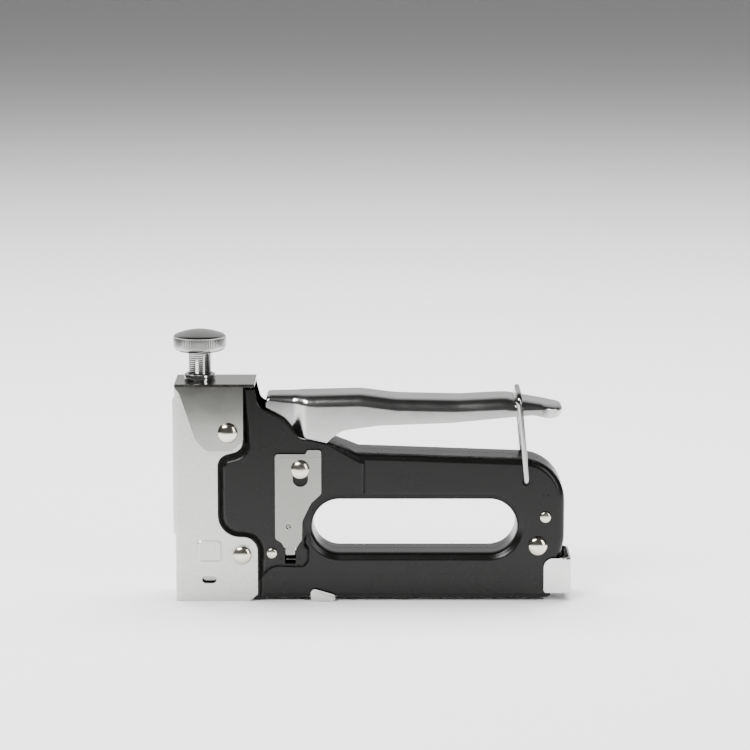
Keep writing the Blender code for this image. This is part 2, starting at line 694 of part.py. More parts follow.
def hammer_line():
    """Knob, screw, bush, spring seat, main spring, hammer and driver blade, on one upright line."""
    knob_low = TOP + BUSH_COLLAR_HEIGHT + KNOB_LIFT + GAP
    knob_high = knob_low + KNOB_HEIGHT
    profile = []
    for step in range(4):
        share = step / 4
        profile.append(((KNOB_RADIUS - 0.6) * share, knob_high + KNOB_DOME * (1 - share**2)))
    profile += [(KNOB_RADIUS - 0.6, knob_high), (KNOB_RADIUS, knob_high - 0.7)]
    profile += [(KNOB_RADIUS, knob_low + 1.2), (KNOB_RADIUS - 1.4, knob_low), (SCREW_RADIUS + GAP, knob_low)]
    profile += [(SCREW_RADIUS + GAP, knob_high - 1.5), (0.0, knob_high - 1.5)]
    knob = turned("tension_knob", profile, HAMMER_X, 0.0, steps=32)
    finish(knob, CHROME)

    seat_high = TOP - 5.0
    seat_low = seat_high - SEAT_HEIGHT
    profile = [(0.0, knob_high - 1.5 - GAP), (SCREW_RADIUS, knob_high - 1.5 - GAP), (SCREW_RADIUS, seat_high + 3.0)]
    profile += [(SCREW_RADIUS - 1.0, seat_high + GAP), (0.0, seat_high + GAP)]
    screw = turned("tension_screw", profile, HAMMER_X, 0.0)
    finish(screw, CHROME)

    bore = SCREW_RADIUS + GAP
    profile = [(bore, TOP + BUSH_COLLAR_HEIGHT + GAP), (BUSH_COLLAR_RADIUS, TOP + BUSH_COLLAR_HEIGHT + GAP)]
    profile += [(BUSH_COLLAR_RADIUS, TOP + GAP), (BUSH_SHANK_RADIUS, TOP + GAP), (BUSH_SHANK_RADIUS, TOP - 4.0)]
    profile.append((bore, TOP - 4.0))
    finish(turned("threaded_bush", profile, HAMMER_X, 0.0, closed=True), CHROME)

    pilot = MAIN_SPRING_RADIUS - MAIN_SPRING_WIRE / 2 - GAP
    profile = [(0.0, seat_high), (SEAT_RADIUS, seat_high), (SEAT_RADIUS, seat_low), (pilot, seat_low)]
    profile += [(pilot, seat_low - 4.0), (0.0, seat_low - 4.0)]
    seat = turned("spring_seat", profile, HAMMER_X, 0.0)
    finish(seat, DARK_STEEL)

    low = HAMMER_HIGH + GAP + MAIN_SPRING_WIRE / 2
    length = seat_low - GAP - MAIN_SPRING_WIRE / 2 - low
    coil = helix(MAIN_SPRING_RADIUS, low, length, MAIN_SPRING_TURNS, 8)
    points = [(HAMMER_X + x, y, z) for x, y, z in coil]
    finish(wire("main_spring", points, MAIN_SPRING_WIRE), DARK_STEEL)

    corners = box_corners(HAMMER_X - HAMMER_HALF_LENGTH, HAMMER_X + HAMMER_HALF_LENGTH, HAMMER_LOW, HAMMER_HIGH, 1.0)
    hammer = stack("hammer", slab(-HAMMER_HALF_WIDTH, HAMMER_HALF_WIDTH, outline(corners)))
    finish(hammer, DARK_STEEL)

    blade_high = HAMMER_HIGH - 2.0
    blade_rear = HAMMER_X - HAMMER_HALF_LENGTH - GAP
    corners = box_corners(blade_rear - BLADE_THICKNESS, blade_rear, BLADE_LOW, blade_high)
    blade = stack("driver_blade", slab(-BLADE_HALF_WIDTH, BLADE_HALF_WIDTH, outline(corners)))
    finish(blade, SATIN_STEEL)

    carry(axis_empty("tension_axis", HAMMER_X, TOP), [knob, screw, seat])
    carry(axis_empty("hammer_axis", HAMMER_X, HAMMER_LOW), [hammer, blade])


def magazine():
    """Staple magazine: channel, inner rail, finger catch, and the pusher with its rod and spring."""
    left = HAMMER_X - HAMMER_HALF_LENGTH
    right = TAIL - 9.6
    ear = HINGE_X - 3.4
    corners = [
        (left, MAGAZINE_LOW, 0.4),
        (right, MAGAZINE_LOW, 0.4),
        (right, HINGE_Z + 2.6, 3.0),
        (ear, HINGE_Z + 2.6, 3.0),
        (ear, MAGAZINE_HIGH, 0.4),
        (left, MAGAZINE_HIGH, 0.6),
    ]
    channel = stack("magazine_channel", full_layers(MAGAZINE_HALF_WIDTH, 0.0, lambda inset: outline(corners)))
    inner = MAGAZINE_HALF_WIDTH - MAGAZINE_SHEET
    inside = box_corners(left - 5.0, right + 5.0, MAGAZINE_LOW + MAGAZINE_SHEET, HINGE_Z + 10.0)
    cut(channel, stack("magazine_space", slab(-inner, inner, outline(inside))))
    cut(channel, drill("magazine_hole", [(HINGE_X, HINGE_Z, HINGE_PIN_RADIUS + GAP)]))
    finish(channel, SATIN_STEEL)

    rail_low = MAGAZINE_LOW + MAGAZINE_SHEET + GAP
    corners = box_corners(left + 1.0, right - 2.0, rail_low, RAIL_HIGH, 0.5)
    rail = stack("staple_rail", slab(-RAIL_HALF_WIDTH, RAIL_HALF_WIDTH, outline(corners)))
    rail_inner = RAIL_HALF_WIDTH - MAGAZINE_SHEET
    inside = box_corners(left - 5.0, right + 5.0, rail_low + MAGAZINE_SHEET, RAIL_HIGH + 5.0)
    cut(rail, stack("rail_space", slab(-rail_inner, rail_inner, outline(inside))))
    finish(rail, SATIN_STEEL)

    catch_outer = BODY_HALF_WIDTH + RUNNING_CLEARANCE + 1.0
    corners = [(CATCH_LEFT, 0.0, 0.8), (CATCH_RIGHT, 0.0, 0.8), (CATCH_RIGHT, 2.6, 1.0), (CATCH_LEFT, 5.5, 1.2)]
    catch = stack("magazine_catch", full_layers(catch_outer, 0.6, lambda inset: outline(corners)))
    catch_inner = BODY_HALF_WIDTH + RUNNING_CLEARANCE
    inside = box_corners(CATCH_LEFT - 5.0, CATCH_RIGHT + 5.0, MAGAZINE_LOW - GAP, 20.0)
    cut(catch, stack("catch_space", slab(-catch_inner, catch_inner, outline(inside))))
    finish(catch, CHROME)

    cap_outer = BODY_HALF_WIDTH + 0.4 + SHEET
    cap_left = TAIL - END_CAP_LENGTH
    side = [(cap_left, END_CAP_LOW, 1.0), (TAIL, END_CAP_LOW, 0.6), (TAIL, END_CAP_HIGH, 0.6)]
    side.append((cap_left, END_CAP_HIGH, 3.5))
    cap = stack("pusher_cap", full_layers(cap_outer, 1.0, lambda inset: rear_inset(side, inset)))
    inside = box_corners(cap_left - 5.0, TAIL - SHEET, -5.0, 30.0)
    cut(cap, stack("pusher_cap_space", slab(SHEET - cap_outer, cap_outer - SHEET, outline(inside))))
    finish(cap, CHROME)

    follower_left = left + 1.5
    rod_end = TAIL - SHEET - GAP
    rod = turned("guide_rod", plain_bar(ROD_RADIUS, follower_left + 4.0, rod_end), 0.0, ROD_Z)
    rod.rotation_euler.y = math.pi / 2
    finish(rod, SATIN_STEEL)

    follower_right = follower_left + FOLLOWER_LENGTH
    corners = box_corners(follower_left, follower_right, rail_low + 1.2, RAIL_HIGH + 2.0, 0.5)
    follower = stack("staple_follower", slab(-FOLLOWER_HALF_WIDTH, FOLLOWER_HALF_WIDTH, outline(corners)))
    wall = box_corners(follower_left - 5.0, follower_right + 5.0, -5.0, RAIL_HIGH + GAP)
    slots = []
    for sign in (-1, 1):
        slots.append(slab(*across(sign, rail_inner - GAP, RAIL_HALF_WIDTH + GAP), outline(wall)))
    cut(follower, stack("follower_slots", *slots))
    bore = turned("follower_bore", plain_bar(ROD_RADIUS + GAP, follower_left - 5.0, follower_right + 5.0), 0.0, ROD_Z)
    bore.rotation_euler.y = math.pi / 2
    cut(follower, bore)
    finish(follower, DARK_STEEL)

    start = follower_right + GAP + PUSHER_SPRING_WIRE / 2
    length = rod_end - PUSHER_SPRING_WIRE / 2 - start
    coil = helix(PUSHER_SPRING_RADIUS, start, length, PUSHER_SPRING_TURNS, 6)
    points = [(along, y, ROD_Z + up) for y, up, along in coil]
    finish(wire("pusher_spring", points, PUSHER_SPRING_WIRE), SATIN_STEEL)

    hinge = axis_empty("magazine_axis", HINGE_X, HINGE_Z)
    pusher = axis_empty("pusher_axis", TAIL, ROD_Z)
    carry(pusher, [cap, rod, follower])
    carry(hinge, [channel, rail, catch])


def rear_inset(corners, inset):
    """The outline with only its rear edge pulled in."""
    rear = max(x for x, _, _ in corners)
    return outline([(x - inset if x == rear else x, z, radius) for x, z, radius in corners])


def build():
    for name, side in (("left", -1), ("right", 1)):
        body_shell(f"body_shell_{name}", side)
        pivot_plate(f"pivot_plate_{name}", side)
        cap_rivet(f"cap_rivet_{name}", side)
    front_channel()
    top_cap()
    hammer_line()
    magazine()
    through_rivet("nose_rivet", NOSE_RIVET, CHANNEL_OUTER + GAP, 2.0, NICKEL)
    through_rivet("front_small_rivet", FRONT_RIVET, PANEL_OUTER + GAP, 1.0, NICKEL)
    through_rivet("rear_small_rivet", REAR_RIVET, BODY_HALF_WIDTH + GAP, 1.0, NICKEL)
    hinge_pin = (HINGE_X, HINGE_Z, HINGE_PIN_RADIUS, 3.65)
    through_rivet("magazine_hinge_pin", hinge_pin, BODY_HALF_WIDTH + GAP, 2.0, NICKEL)
    pivot_pin = (PIVOT_X, PIVOT_Z, PIVOT_PIN_RADIUS, PIVOT_HEAD_RADIUS)
    through_rivet("lever_pivot_pin", pivot_pin, PLATE_OUTER + GAP, 2.0, NICKEL)
    spacer("front_spacer", FRONT_RIVET, PANEL_INNER - GAP)
    spacer("rear_spacer", REAR_RIVET, GRIP_INNER - GAP)
    return_spring()
    carry(axis_empty("lever_axis", PIVOT_X, PIVOT_Z), [lever(), lifting_arm()])
    carry(axis_empty("bail_axis", BAIL_X, BAIL_Z), [bail()])


clear_scene()
GUN = new_collection("staple_gun")
TOOLS = new_collection("cutters")
build()
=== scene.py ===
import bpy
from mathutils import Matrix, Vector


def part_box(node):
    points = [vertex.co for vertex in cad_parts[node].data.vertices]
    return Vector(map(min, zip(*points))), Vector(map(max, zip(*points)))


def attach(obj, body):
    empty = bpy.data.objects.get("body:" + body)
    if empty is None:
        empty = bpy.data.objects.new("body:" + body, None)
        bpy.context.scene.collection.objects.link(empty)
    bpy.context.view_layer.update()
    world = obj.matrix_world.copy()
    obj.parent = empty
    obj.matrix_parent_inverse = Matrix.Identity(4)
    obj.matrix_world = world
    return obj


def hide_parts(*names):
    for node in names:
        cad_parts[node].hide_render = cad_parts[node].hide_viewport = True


bl_info = {
    "name": "Staple Gun Builder",
    "version": (1, 0, 0),
    "blender": (4, 5, 0),
    "location": "View3D > Sidebar > Staple Gun",
    "description": "Builds the finished surfaces of a hand staple gun round its packed frame",
    "category": "Object",
}

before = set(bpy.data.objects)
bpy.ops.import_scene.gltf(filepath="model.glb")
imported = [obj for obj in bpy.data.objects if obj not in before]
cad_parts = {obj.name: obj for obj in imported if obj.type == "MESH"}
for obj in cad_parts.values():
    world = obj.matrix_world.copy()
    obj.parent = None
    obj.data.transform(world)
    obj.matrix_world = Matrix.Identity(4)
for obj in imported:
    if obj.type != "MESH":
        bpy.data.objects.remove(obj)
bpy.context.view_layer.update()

import math

import bmesh
import bpy
from mathutils import Matrix, Vector

MM = 0.001


def low(node):
    """Lowest corner of a CAD node in millimetres."""
    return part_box(node)[0] / MM


def high(node):
    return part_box(node)[1] / MM


def middle(node):
    return (low(node) + high(node)) / 2


# Sheet thicknesses, clearances and other sizes in millimetres that the frame doesn't give
SHEET = 1.0
LEVER_SHEET = 1.2
PLATE_SHEET = 0.8
GAP = 0.3
SPLIT = GAP / 2
KNOB_DOME = 2.0
BAIL_WIRE = 2.2
BAIL_REACH = 33.5
BAIL_LEAN = math.radians(5.1)
MAIN_WIRE = 1.6
PUSHER_WIRE = 0.8

# Places and half widths in millimetres, read from the frame
NOSE = low("body_shell_left").x - 3.5
TAIL = high("pusher_cap").x
TOP = high("top_cap").z
PIVOT = middle("lever_pivot_pin")
HAMMER_X = middle("tension_knob").x
PANEL_OUTER = high("body_shell_right").y
PANEL_INNER = PANEL_OUTER - SHEET
GRIP_OUTER = PANEL_OUTER - 1.5
GRIP_INNER = GRIP_OUTER - SHEET
HEAD_OUTER = GRIP_OUTER - 1.0
HEAD_INNER = HEAD_OUTER - SHEET
CHANNEL_INNER = HEAD_OUTER + GAP
CHANNEL_OUTER = CHANNEL_INNER + SHEET
CAP_OUTER = high("top_cap").y
CAP_INNER = CAP_OUTER - SHEET
PLATE_OUTER = high("pivot_plate_right").y
PLATE_INNER = PLATE_OUTER - PLATE_SHEET
LEVER_HALF = high("squeeze_lever").y
LEVER_NOSE_HALF = HEAD_INNER - 0.5
BEAD_FRONT = low("front_channel").x
OPENING = (NOSE + 52.0, TAIL - 20.9, 18.5, 39.1)
BAIL_X = TAIL - 17.5
BAIL_Z = TOP - 37.8
STEM = high("tension_screw").x - HAMMER_X
SIGHT_SLOT = (NOSE + 9.9, NOSE + 15.4, 6.95, 9.8)
FAR = 40.0
ARC_STEP = math.radians(7.5)


class StapleGunSizes(bpy.types.PropertyGroup):
    """Sizes that only shape the surface; the frame sets all the rest."""

    press_bend: bpy.props.FloatProperty(
        name="Press Bend",
        description="Width of the rolled bend round the raised panel",
        default=3.0 * MM,
        unit="LENGTH",
    )
    grip_round: bpy.props.FloatProperty(
        name="Grip Rounding",
        description="Radius of the outer edge of the grip and the lower body",
        default=2.6 * MM,
        unit="LENGTH",
    )
    lever_round: bpy.props.FloatProperty(
        name="Lever Rounding",
        description="Radius between the lever's back and its cheeks",
        default=4.6 * MM,
        unit="LENGTH",
    )
    knurl_teeth: bpy.props.IntProperty(
        name="Knurl Teeth",
        description="Number of upright teeth round the adjusting knob",
        default=84,
        min=24,
    )
    thread_pitch: bpy.props.FloatProperty(
        name="Thread Pitch",
        description="Distance between the turns of the adjusting screw's thread",
        default=0.8 * MM,
        unit="LENGTH",
    )


class StapleGunColours(bpy.types.PropertyGroup):
    """Base colours of the finishes."""

    paint: bpy.props.FloatVectorProperty(
        name="Paint",
        description="Black paint of the body halves",
        subtype="COLOR",
        default=(0.0035, 0.0035, 0.0032),
    )
    silver: bpy.props.FloatVectorProperty(
        name="Silver Plate",
        description="Pale matte plating of the front channel",
        subtype="COLOR",
        default=(0.68, 0.68, 0.66),
    )
    satin: bpy.props.FloatVectorProperty(
        name="Satin Steel",
        description="Brushed plating of the top cap and the pivot plates",
        subtype="COLOR",
        default=(0.32, 0.32, 0.30),
    )
    chrome: bpy.props.FloatVectorProperty(
        name="Chrome",
        description="Bright plating of the lever, the knob and the bail",
        subtype="COLOR",
        default=(0.62, 0.62, 0.61),
    )
    nickel: bpy.props.FloatVectorProperty(
        name="Nickel",
        description="Warm bright plating of the rivets",
        subtype="COLOR",
        default=(0.72, 0.68, 0.60),
    )
    steel: bpy.props.FloatVectorProperty(
        name="Oiled Steel",
        description="Plain steel of the pieces inside",
        subtype="COLOR",
        default=(0.28, 0.27, 0.26),
    )


def sizes():
    return bpy.context.scene.staple_gun_sizes


def colours():
    return bpy.context.scene.staple_gun_colours


# Modelling helpers


def only(*objects):
    """Selects these objects and nothing else, the first one active."""
    bpy.ops.object.select_all(action="DESELECT")
    for obj in objects:
        obj.select_set(True)
    bpy.context.view_layer.objects.active = objects[0]


def outline(corners, inset=0.0):
    """Points of a closed outline, anticlockwise, from its corners (x, z, radius), moved in by inset."""
    points = []
    for index, (x, z, radius) in enumerate(corners):
        corner = Vector((x, z))
        arriving = (corner - Vector(corners[index - 1][:2])).normalized()
        leaving = (Vector(corners[(index + 1) % len(corners)][:2]) - corner).normalized()
        turn = math.atan2(arriving.cross(leaving), arriving.dot(leaving))
        side = Vector((-arriving.y, arriving.x))
        bisector = (side + Vector((-leaving.y, leaving.x))).normalized()
        corner += bisector * inset / math.cos(turn / 2)
        if not radius:
            points.append(corner)
            continue
        bend = 1.0 if turn > 0 else -1.0
        fillet = max(radius - inset * bend, 0.08)
        centre = corner + bisector * bend * fillet / math.cos(turn / 2)
        steps = max(2, round(abs(turn) / ARC_STEP))
        for step in range(steps + 1):
            spoke = Matrix.Rotation(turn * step / steps, 2) @ (side * -bend)
            points.append(centre + spoke * fillet)
    return points


def slot_outline(left, right, base, top, grow=0.0):
    """Points of a level slot with round ends, anticlockwise."""
    radius = (top - base) / 2
    level = (top + base) / 2
    steps = 28
    points = []
    for centre, start in ((right - radius, -math.pi / 2), (left + radius, math.pi / 2)):
        for step in range(steps + 1):
            angle = start + math.pi * step / steps
            spoke = Vector((math.cos(angle), math.sin(angle)))
            points.append(Vector((centre, level)) + spoke * (radius + grow))
    return points


def circle_outline(x, z, radius, steps=32):
    angles = [2 * math.pi * step / steps for step in range(steps)]
    return [Vector((x + radius * math.cos(a), z + radius * math.sin(a))) for a in angles]


def box_corners(left, right, base, top, radius=0.0):
    return [(left, base, radius), (right, base, radius), (right, top, radius), (left, top, radius)]


def loft(name, layers):
    """A solid drawn through layers (y, outline): a disc on the first, extruded to each of the next."""
    first_y, first = layers[0]
    bpy.ops.object.select_all(action="DESELECT")
    bpy.ops.mesh.primitive_circle_add(vertices=len(first), radius=1.0, fill_type="NGON")
    obj = bpy.context.active_object
    obj.name = name
    obj.data.name = name
    for vertex, point in zip(obj.data.vertices, first):
        vertex.co = (point.x * MM, first_y * MM, point.y * MM)
    bpy.ops.object.mode_set(mode="EDIT")
    bpy.ops.mesh.select_all(action="SELECT")
    order = list(range(len(first)))
    for y, points in layers[1:]:
        bpy.ops.mesh.extrude_region_move()
        cage = bmesh.from_edit_mesh(obj.data)
        cage.verts.ensure_lookup_table()
        face = next(face for face in cage.faces if face.select)
        ring = list(face.verts)
        order = matched(ring, order, cage)
        for vertex, point in zip(order, points):
            vertex.co = (point.x * MM, y * MM, point.y * MM)
        order = [vertex.index for vertex in order]
        bmesh.update_edit_mesh(obj.data)
    bpy.ops.mesh.select_all(action="SELECT")
    bpy.ops.mesh.normals_make_consistent(inside=False)
    bpy.ops.object.mode_set(mode="OBJECT")
    return obj


def matched(ring, order, cage):
    """The new ring's vertices in the order of the old ring, which lie at the same places."""
    cage.verts.index_update()
    cage.verts.ensure_lookup_table()
    found = {}
    for vertex in ring:
        for edge in vertex.link_edges:
            other = edge.other_vert(vertex)
            if other not in ring and (other.co - vertex.co).length < 1e-9:
                found[other.index] = vertex
    return [found[index] for index in order]


def slab(name, y_low, y_high, points):
    return loft(name, [(y_low, points), (y_high, points)])


def half_layers(inner, outer, radius, shape, steps=6):
    """Layers of the left half, from its outer face inwards, with the outer edge rounded over."""
    rim = []
    for step in range(steps + 1):
        turn = math.pi / 2 * step / steps
        rim.append((-(outer - radius * (1 - math.cos(turn))), shape(radius * (1 - math.sin(turn)))))
    return [*rim, (-inner, shape(0.0))]


def full_layers(outer, radius, shape, steps=6):
    """Layers right across the gun, with both outer edges rounded over."""
    left = half_layers(0.0, outer, radius, shape, steps)[:-1]
    return left + [(-y, points) for y, points in reversed(left)]


def pressed_layers(inner, base, outer, bend, shape, steps=10):
    """Layers of a pressed panel whose rim rises from base to outer in one smooth double curve."""
    rim = []
    for step in range(steps + 1):
        rise = step / steps
        height = rise * rise * (3 - 2 * rise)
        rim.append((-(base + (outer - base) * height), shape(bend * rise)))
    return [*reversed(rim), (-inner, shape(0.0))]


def apply_all(obj):
    only(obj)
    for modifier in list(obj.modifiers):
        bpy.ops.object.modifier_apply(modifier=modifier.name)


def combine(target, tool, operation):
    modifier = target.modifiers.new("Combine", "BOOLEAN")
    modifier.operation = operation
    modifier.object = tool
    apply_all(target)
    bpy.data.objects.remove(tool)


def join(target, tool):
    combine(target, tool, "UNION")


def cut(target, tool):
    combine(target, tool, "DIFFERENCE")


def soften(obj, width, segments=2, angle=30.0):
    """Rounds every edge sharper than the angle."""
    modifier = obj.modifiers.new("Edge", "BEVEL")
    modifier.width = width * MM
    modifier.segments = segments
    modifier.limit_method = "ANGLE"
    modifier.angle_limit = math.radians(angle)
    modifier.use_clamp_overlap = True
    apply_all(obj)


def smooth(obj, angle=30.0):
    """Smooth shading with sharp edges kept, and with flat faces left truly flat."""
    only(obj)
    bpy.ops.object.shade_smooth_by_angle(angle=math.radians(angle))
    level = obj.modifiers.new("Level", "WEIGHTED_NORMAL")
    level.keep_sharp = True
    level.weight = 100
    apply_all(obj)


def tidy_mesh(obj):
    """Closes seams left by a cut and turns every face outwards."""
    only(obj)
    bpy.ops.object.mode_set(mode="EDIT")
    bpy.ops.mesh.select_all(action="SELECT")
    bpy.ops.mesh.remove_doubles(threshold=1e-6)
    bpy.ops.mesh.dissolve_degenerate(threshold=1e-6)
    bpy.ops.mesh.normals_make_consistent(inside=False)
    bpy.ops.object.mode_set(mode="OBJECT")


def slice_at(obj, places):
    """Cuts a loop across the piece at each place along the gun."""
    only(obj)
    bpy.ops.object.mode_set(mode="EDIT")
    for x in places:
        bpy.ops.mesh.select_all(action="SELECT")
        bpy.ops.mesh.bisect(plane_co=(x * MM, 0.0, 0.0), plane_no=(1.0, 0.0, 0.0))
    bpy.ops.object.mode_set(mode="OBJECT")


def turned(name, profile, centre, along="Z", steps=64, closed=False):
    """A turned piece from a profile (radius, height) spun about an axis through centre."""
    bpy.ops.object.select_all(action="DESELECT")
    bpy.ops.mesh.primitive_circle_add(vertices=len(profile), radius=1.0, fill_type="NOTHING")
    obj = bpy.context.active_object
    obj.name = name
    obj.data.name = name
    for vertex, (radius, height) in zip(obj.data.vertices, profile):
        vertex.co = (radius * MM, 0.0, height * MM)
    bpy.ops.object.mode_set(mode="EDIT")
    if not closed:
        cage = bmesh.from_edit_mesh(obj.data)
        for edge in cage.edges:
            ends = {vertex.index for vertex in edge.verts}
            edge.select_set(ends == {0, len(profile) - 1})
        bmesh.update_edit_mesh(obj.data)
        bpy.ops.mesh.delete(type="EDGE")
    bpy.ops.mesh.select_all(action="SELECT")
    bpy.ops.mesh.spin(steps=steps, angle=2 * math.pi, center=(0, 0, 0), axis=(0, 0, 1))
    bpy.ops.mesh.select_all(action="SELECT")
    bpy.ops.mesh.remove_doubles(threshold=1e-6)
    bpy.ops.mesh.normals_make_consistent(inside=False)
    bpy.ops.object.mode_set(mode="OBJECT")
    turn = {
        "Z": Matrix.Identity(4),
        "+Y": Matrix.Rotation(-math.pi / 2, 4, "X"),
        "-Y": Matrix.Rotation(math.pi / 2, 4, "X"),
        "+X": Matrix.Rotation(math.pi / 2, 4, "Y"),
    }[along]
    obj.data.transform(Matrix.Translation(Vector(centre) * MM) @ turn)
    return obj


def mirrored(obj, name):
    """A copy of the piece on the other side of the gun."""
    only(obj)
    bpy.ops.object.duplicate()
    copy = bpy.context.active_object
    copy.name = name
    copy.data.name = name
    copy.data.transform(Matrix.Scale(-1.0, 4, (0, 1, 0)))
    tidy_mesh(copy)
    return copy


def wire(name, points, thickness, sides=3):
    """A round wire through the points, as a mesh with closed ends."""
    curve = bpy.data.curves.new(name, "CURVE")
    curve.dimensions = "3D"
    curve.bevel_depth = thickness / 2 * MM
    curve.bevel_resolution = sides
    curve.use_fill_caps = True
    spline = curve.splines.new("POLY")
    spline.points.add(len(points) - 1)
    for point, place in zip(spline.points, points):
        point.co = (*(Vector(place) * MM), 1.0)
    obj = bpy.data.objects.new(name, curve)
    bpy.context.scene.collection.objects.link(obj)
    only(obj)
    bpy.ops.object.convert(target="MESH")
    obj = bpy.context.active_object
    tidy_mesh(obj)
    smooth(obj, 50.0)
    return obj


def place(obj, body, node, slot, material):
    """Hands a finished piece to the frame."""
    obj.data.materials.clear()
    obj.data.materials.append(material)
    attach(obj, body)
    if node:
        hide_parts(node)


def dome(head, height, seat, steps=12):
    """Profile of a domed rivet head with a small upright rim, from its crown down to its seat."""
    rim = 0.35
    points = []
    for step in range(steps + 1):
        angle = math.pi / 2 * step / steps
        points.append((head * math.sin(angle), seat + rim + (height - rim) * math.cos(angle)))
    points.append((head - 0.08, seat))
    return points


# Outlines that more than one piece follows


def channel_rear():
    """Corners down the rear edge of the front channel, which the raised panel follows."""
    return [
        (NOSE + 25.7, TOP - 25.4, 4.5),
        (NOSE + 16.1, TOP - 28.0, 4.8),
        (NOSE + 16.1, 24.9, 8.5),
        (NOSE + 31.1, 24.9, 5.5),
    ]


def panel_corners():
    lifts = (-GAP, -GAP, GAP / 2, GAP / 2)
    shifted = [(x + GAP, z + lift, radius) for (x, z, radius), lift in zip(channel_rear(), lifts)]
    return [
        (NOSE + 31.4, 6.2, 1.0),
        (NOSE + 37.3, 12.0, 4.0),
        (NOSE + 49.6, 11.8, 3.6),
        (OPENING[0], 15.0, 3.6),
        (OPENING[0] + 0.1, 21.2, 3.2),
        (NOSE + 49.2, 24.9, 1.5),
        (NOSE + 73.3, 24.9, 0.0),
        (NOSE + 73.3, TOP - 28.5, 3.2),
        (NOSE + 57.7, TOP - 22.3, 6.0),
        (PIVOT.x - 0.2, TOP - 20.0, 3.2),
        (NOSE + 41.9, TOP - 13.3, 12.0),
        (NOSE + 32.4, TOP - 8.4, 3.2),
        (NOSE + 30.6, TOP - 1.3, 0.5),
        (NOSE + 26.3, TOP - 1.3, 0.5),
        *shifted,
    ]


def panel_side(inset):
    """Outline of the raised panel; its rim is rolled tightly where it is open to the lever."""
    corners = panel_corners()
    open_rim = [NOSE + 26.2 < point.x < NOSE + 60.0 and point.y > TOP - 23.5 for point in outline(corners)]
    wide = outline(corners, inset)
    tight = outline(corners, 0.3 * inset)
    return [near if tightly else far for tightly, near, far in zip(open_rim, tight, wide)]


def grip_corners(base):
    return [
        (NOSE + 31.4, base, 0.8),
        (TAIL - 8.0, base, 2.6),
        (TAIL - 2.8, 23.8, 8.0),
        (TAIL - 2.8, TOP - 29.4, 16.5),
        (NOSE + 68.2, TOP - 26.6, 4.0),
        (NOSE + 58.2, TOP - 22.8, 1.0),
        (NOSE + 31.4, TOP - 22.8, 1.0),
    ]


def opening_outline(grow):
    return slot_outline(*OPENING, grow)


def opening_layers(grow):
    """Layers of the finger opening from the outer face to the middle, its lip rolled inwards."""
    layers = [(-FAR, opening_outline(2.8 + grow))]
    dish = [(2.8, 0.0), (2.55, 0.03), (2.25, 0.16), (1.9, 0.4), (1.5, 0.66), (1.15, 0.82), (0.85, 0.98)]
    dish += [(0.58, 1.25), (0.34, 1.65), (0.16, 2.2), (0.05, 2.8), (0.0, 3.4)]
    for wider, depth in dish:
        layers.append((depth - GRIP_OUTER, opening_outline(wider + grow)))
    return layers


def build_shells():
    bend = sizes().press_bend / MM
    grip_round = sizes().grip_round / MM
    head = box_corners(NOSE + 3.5, NOSE + 44.0, 0.6, TOP - 1.5)
    shell = loft("left_shell", half_layers(SPLIT, HEAD_OUTER, 0.0, lambda i: outline(head, i), 1)[1:])
    grip = half_layers(SPLIT, GRIP_OUTER, grip_round, lambda i: outline(grip_corners(0.6), i))
    join(shell, loft("grip", grip))
    panel = pressed_layers(SPLIT, HEAD_OUTER, PANEL_OUTER, bend, panel_side)
    join(shell, loft("panel", panel))

    head_space = box_corners(NOSE - 5.0, NOSE + 45.0, -5.0, TOP + 5.0)
    cut(shell, slab("space", -HEAD_INNER, 1.0, outline(head_space)))
    panel_space = [(-PANEL_INNER, panel_side(3.6)), (-GRIP_INNER, panel_side(1.4)), (1.0, panel_side(1.4))]
    cut(shell, loft("space", panel_space))
    depths = ((-GRIP_INNER, 2.6), (1.6 - GRIP_INNER, 1.0), (1.0, 1.0))
    cut(shell, loft("space", [(y, outline(grip_corners(-5.0), inset)) for y, inset in depths]))
    lever_way = box_corners(NOSE + 29.0, NOSE + 58.0, TOP - 27.5, TOP + 5.0)
    cut(shell, slab("way", -PANEL_INNER, 1.0, outline(lever_way)))

    lip = [layer for layer in opening_layers(1.0) if layer[0] > -FAR]
    join(shell, loft("lip", [*lip, (-SPLIT, opening_outline(1.0))]))
    cut(shell, loft("opening", [*opening_layers(0.0), (1.0, opening_outline(0.0))]))
    magazine_way = box_corners(TAIL - 16.0, TAIL + 5.0, -5.0, 17.7)
    cut(shell, slab("way", -8.4, 1.0, outline(magazine_way)))
    catch = middle("magazine_catch").x
    window = box_corners(NOSE + 41.5, NOSE + 45.7, 14.9, 22.2, 0.6)
    notch = box_corners(catch - 5.2, catch + 5.2, -5.0, 2.0)
    for hole in (outline(window), outline(notch), slot_outline(*SIGHT_SLOT)):
        cut(shell, slab("window", -FAR, 1.0, hole))
    cut(shell, slab("hole", -FAR, 1.0, circle_outline(BAIL_X, BAIL_Z, 1.4)))
    for x, z in ((TAIL - 10.9, 41.3), (TAIL - 9.2, 41.3)):
        cut(shell, slab("dimple", -FAR, 0.35 - GRIP_OUTER, circle_outline(x, z, 0.42, 16)))
    for x in (NOSE + 40.0, NOSE + 46.9):
        mark = box_corners(x - 0.25, x + 0.25, 16.6, 17.9, 0.2)
        cut(shell, slab("mark", -FAR, 0.35 - PANEL_OUTER, outline(mark)))
    soften(shell, 0.18, 2, 40.0)
    tidy_mesh(shell)
    right = mirrored(shell, "right_shell")
    for obj in (shell, right):
        smooth(obj, 35.0)
    paint = black_paint()
    place(shell, "body", "body_shell_left", "black_paint", paint)
    place(right, "body", "body_shell_right", "black_paint", paint)


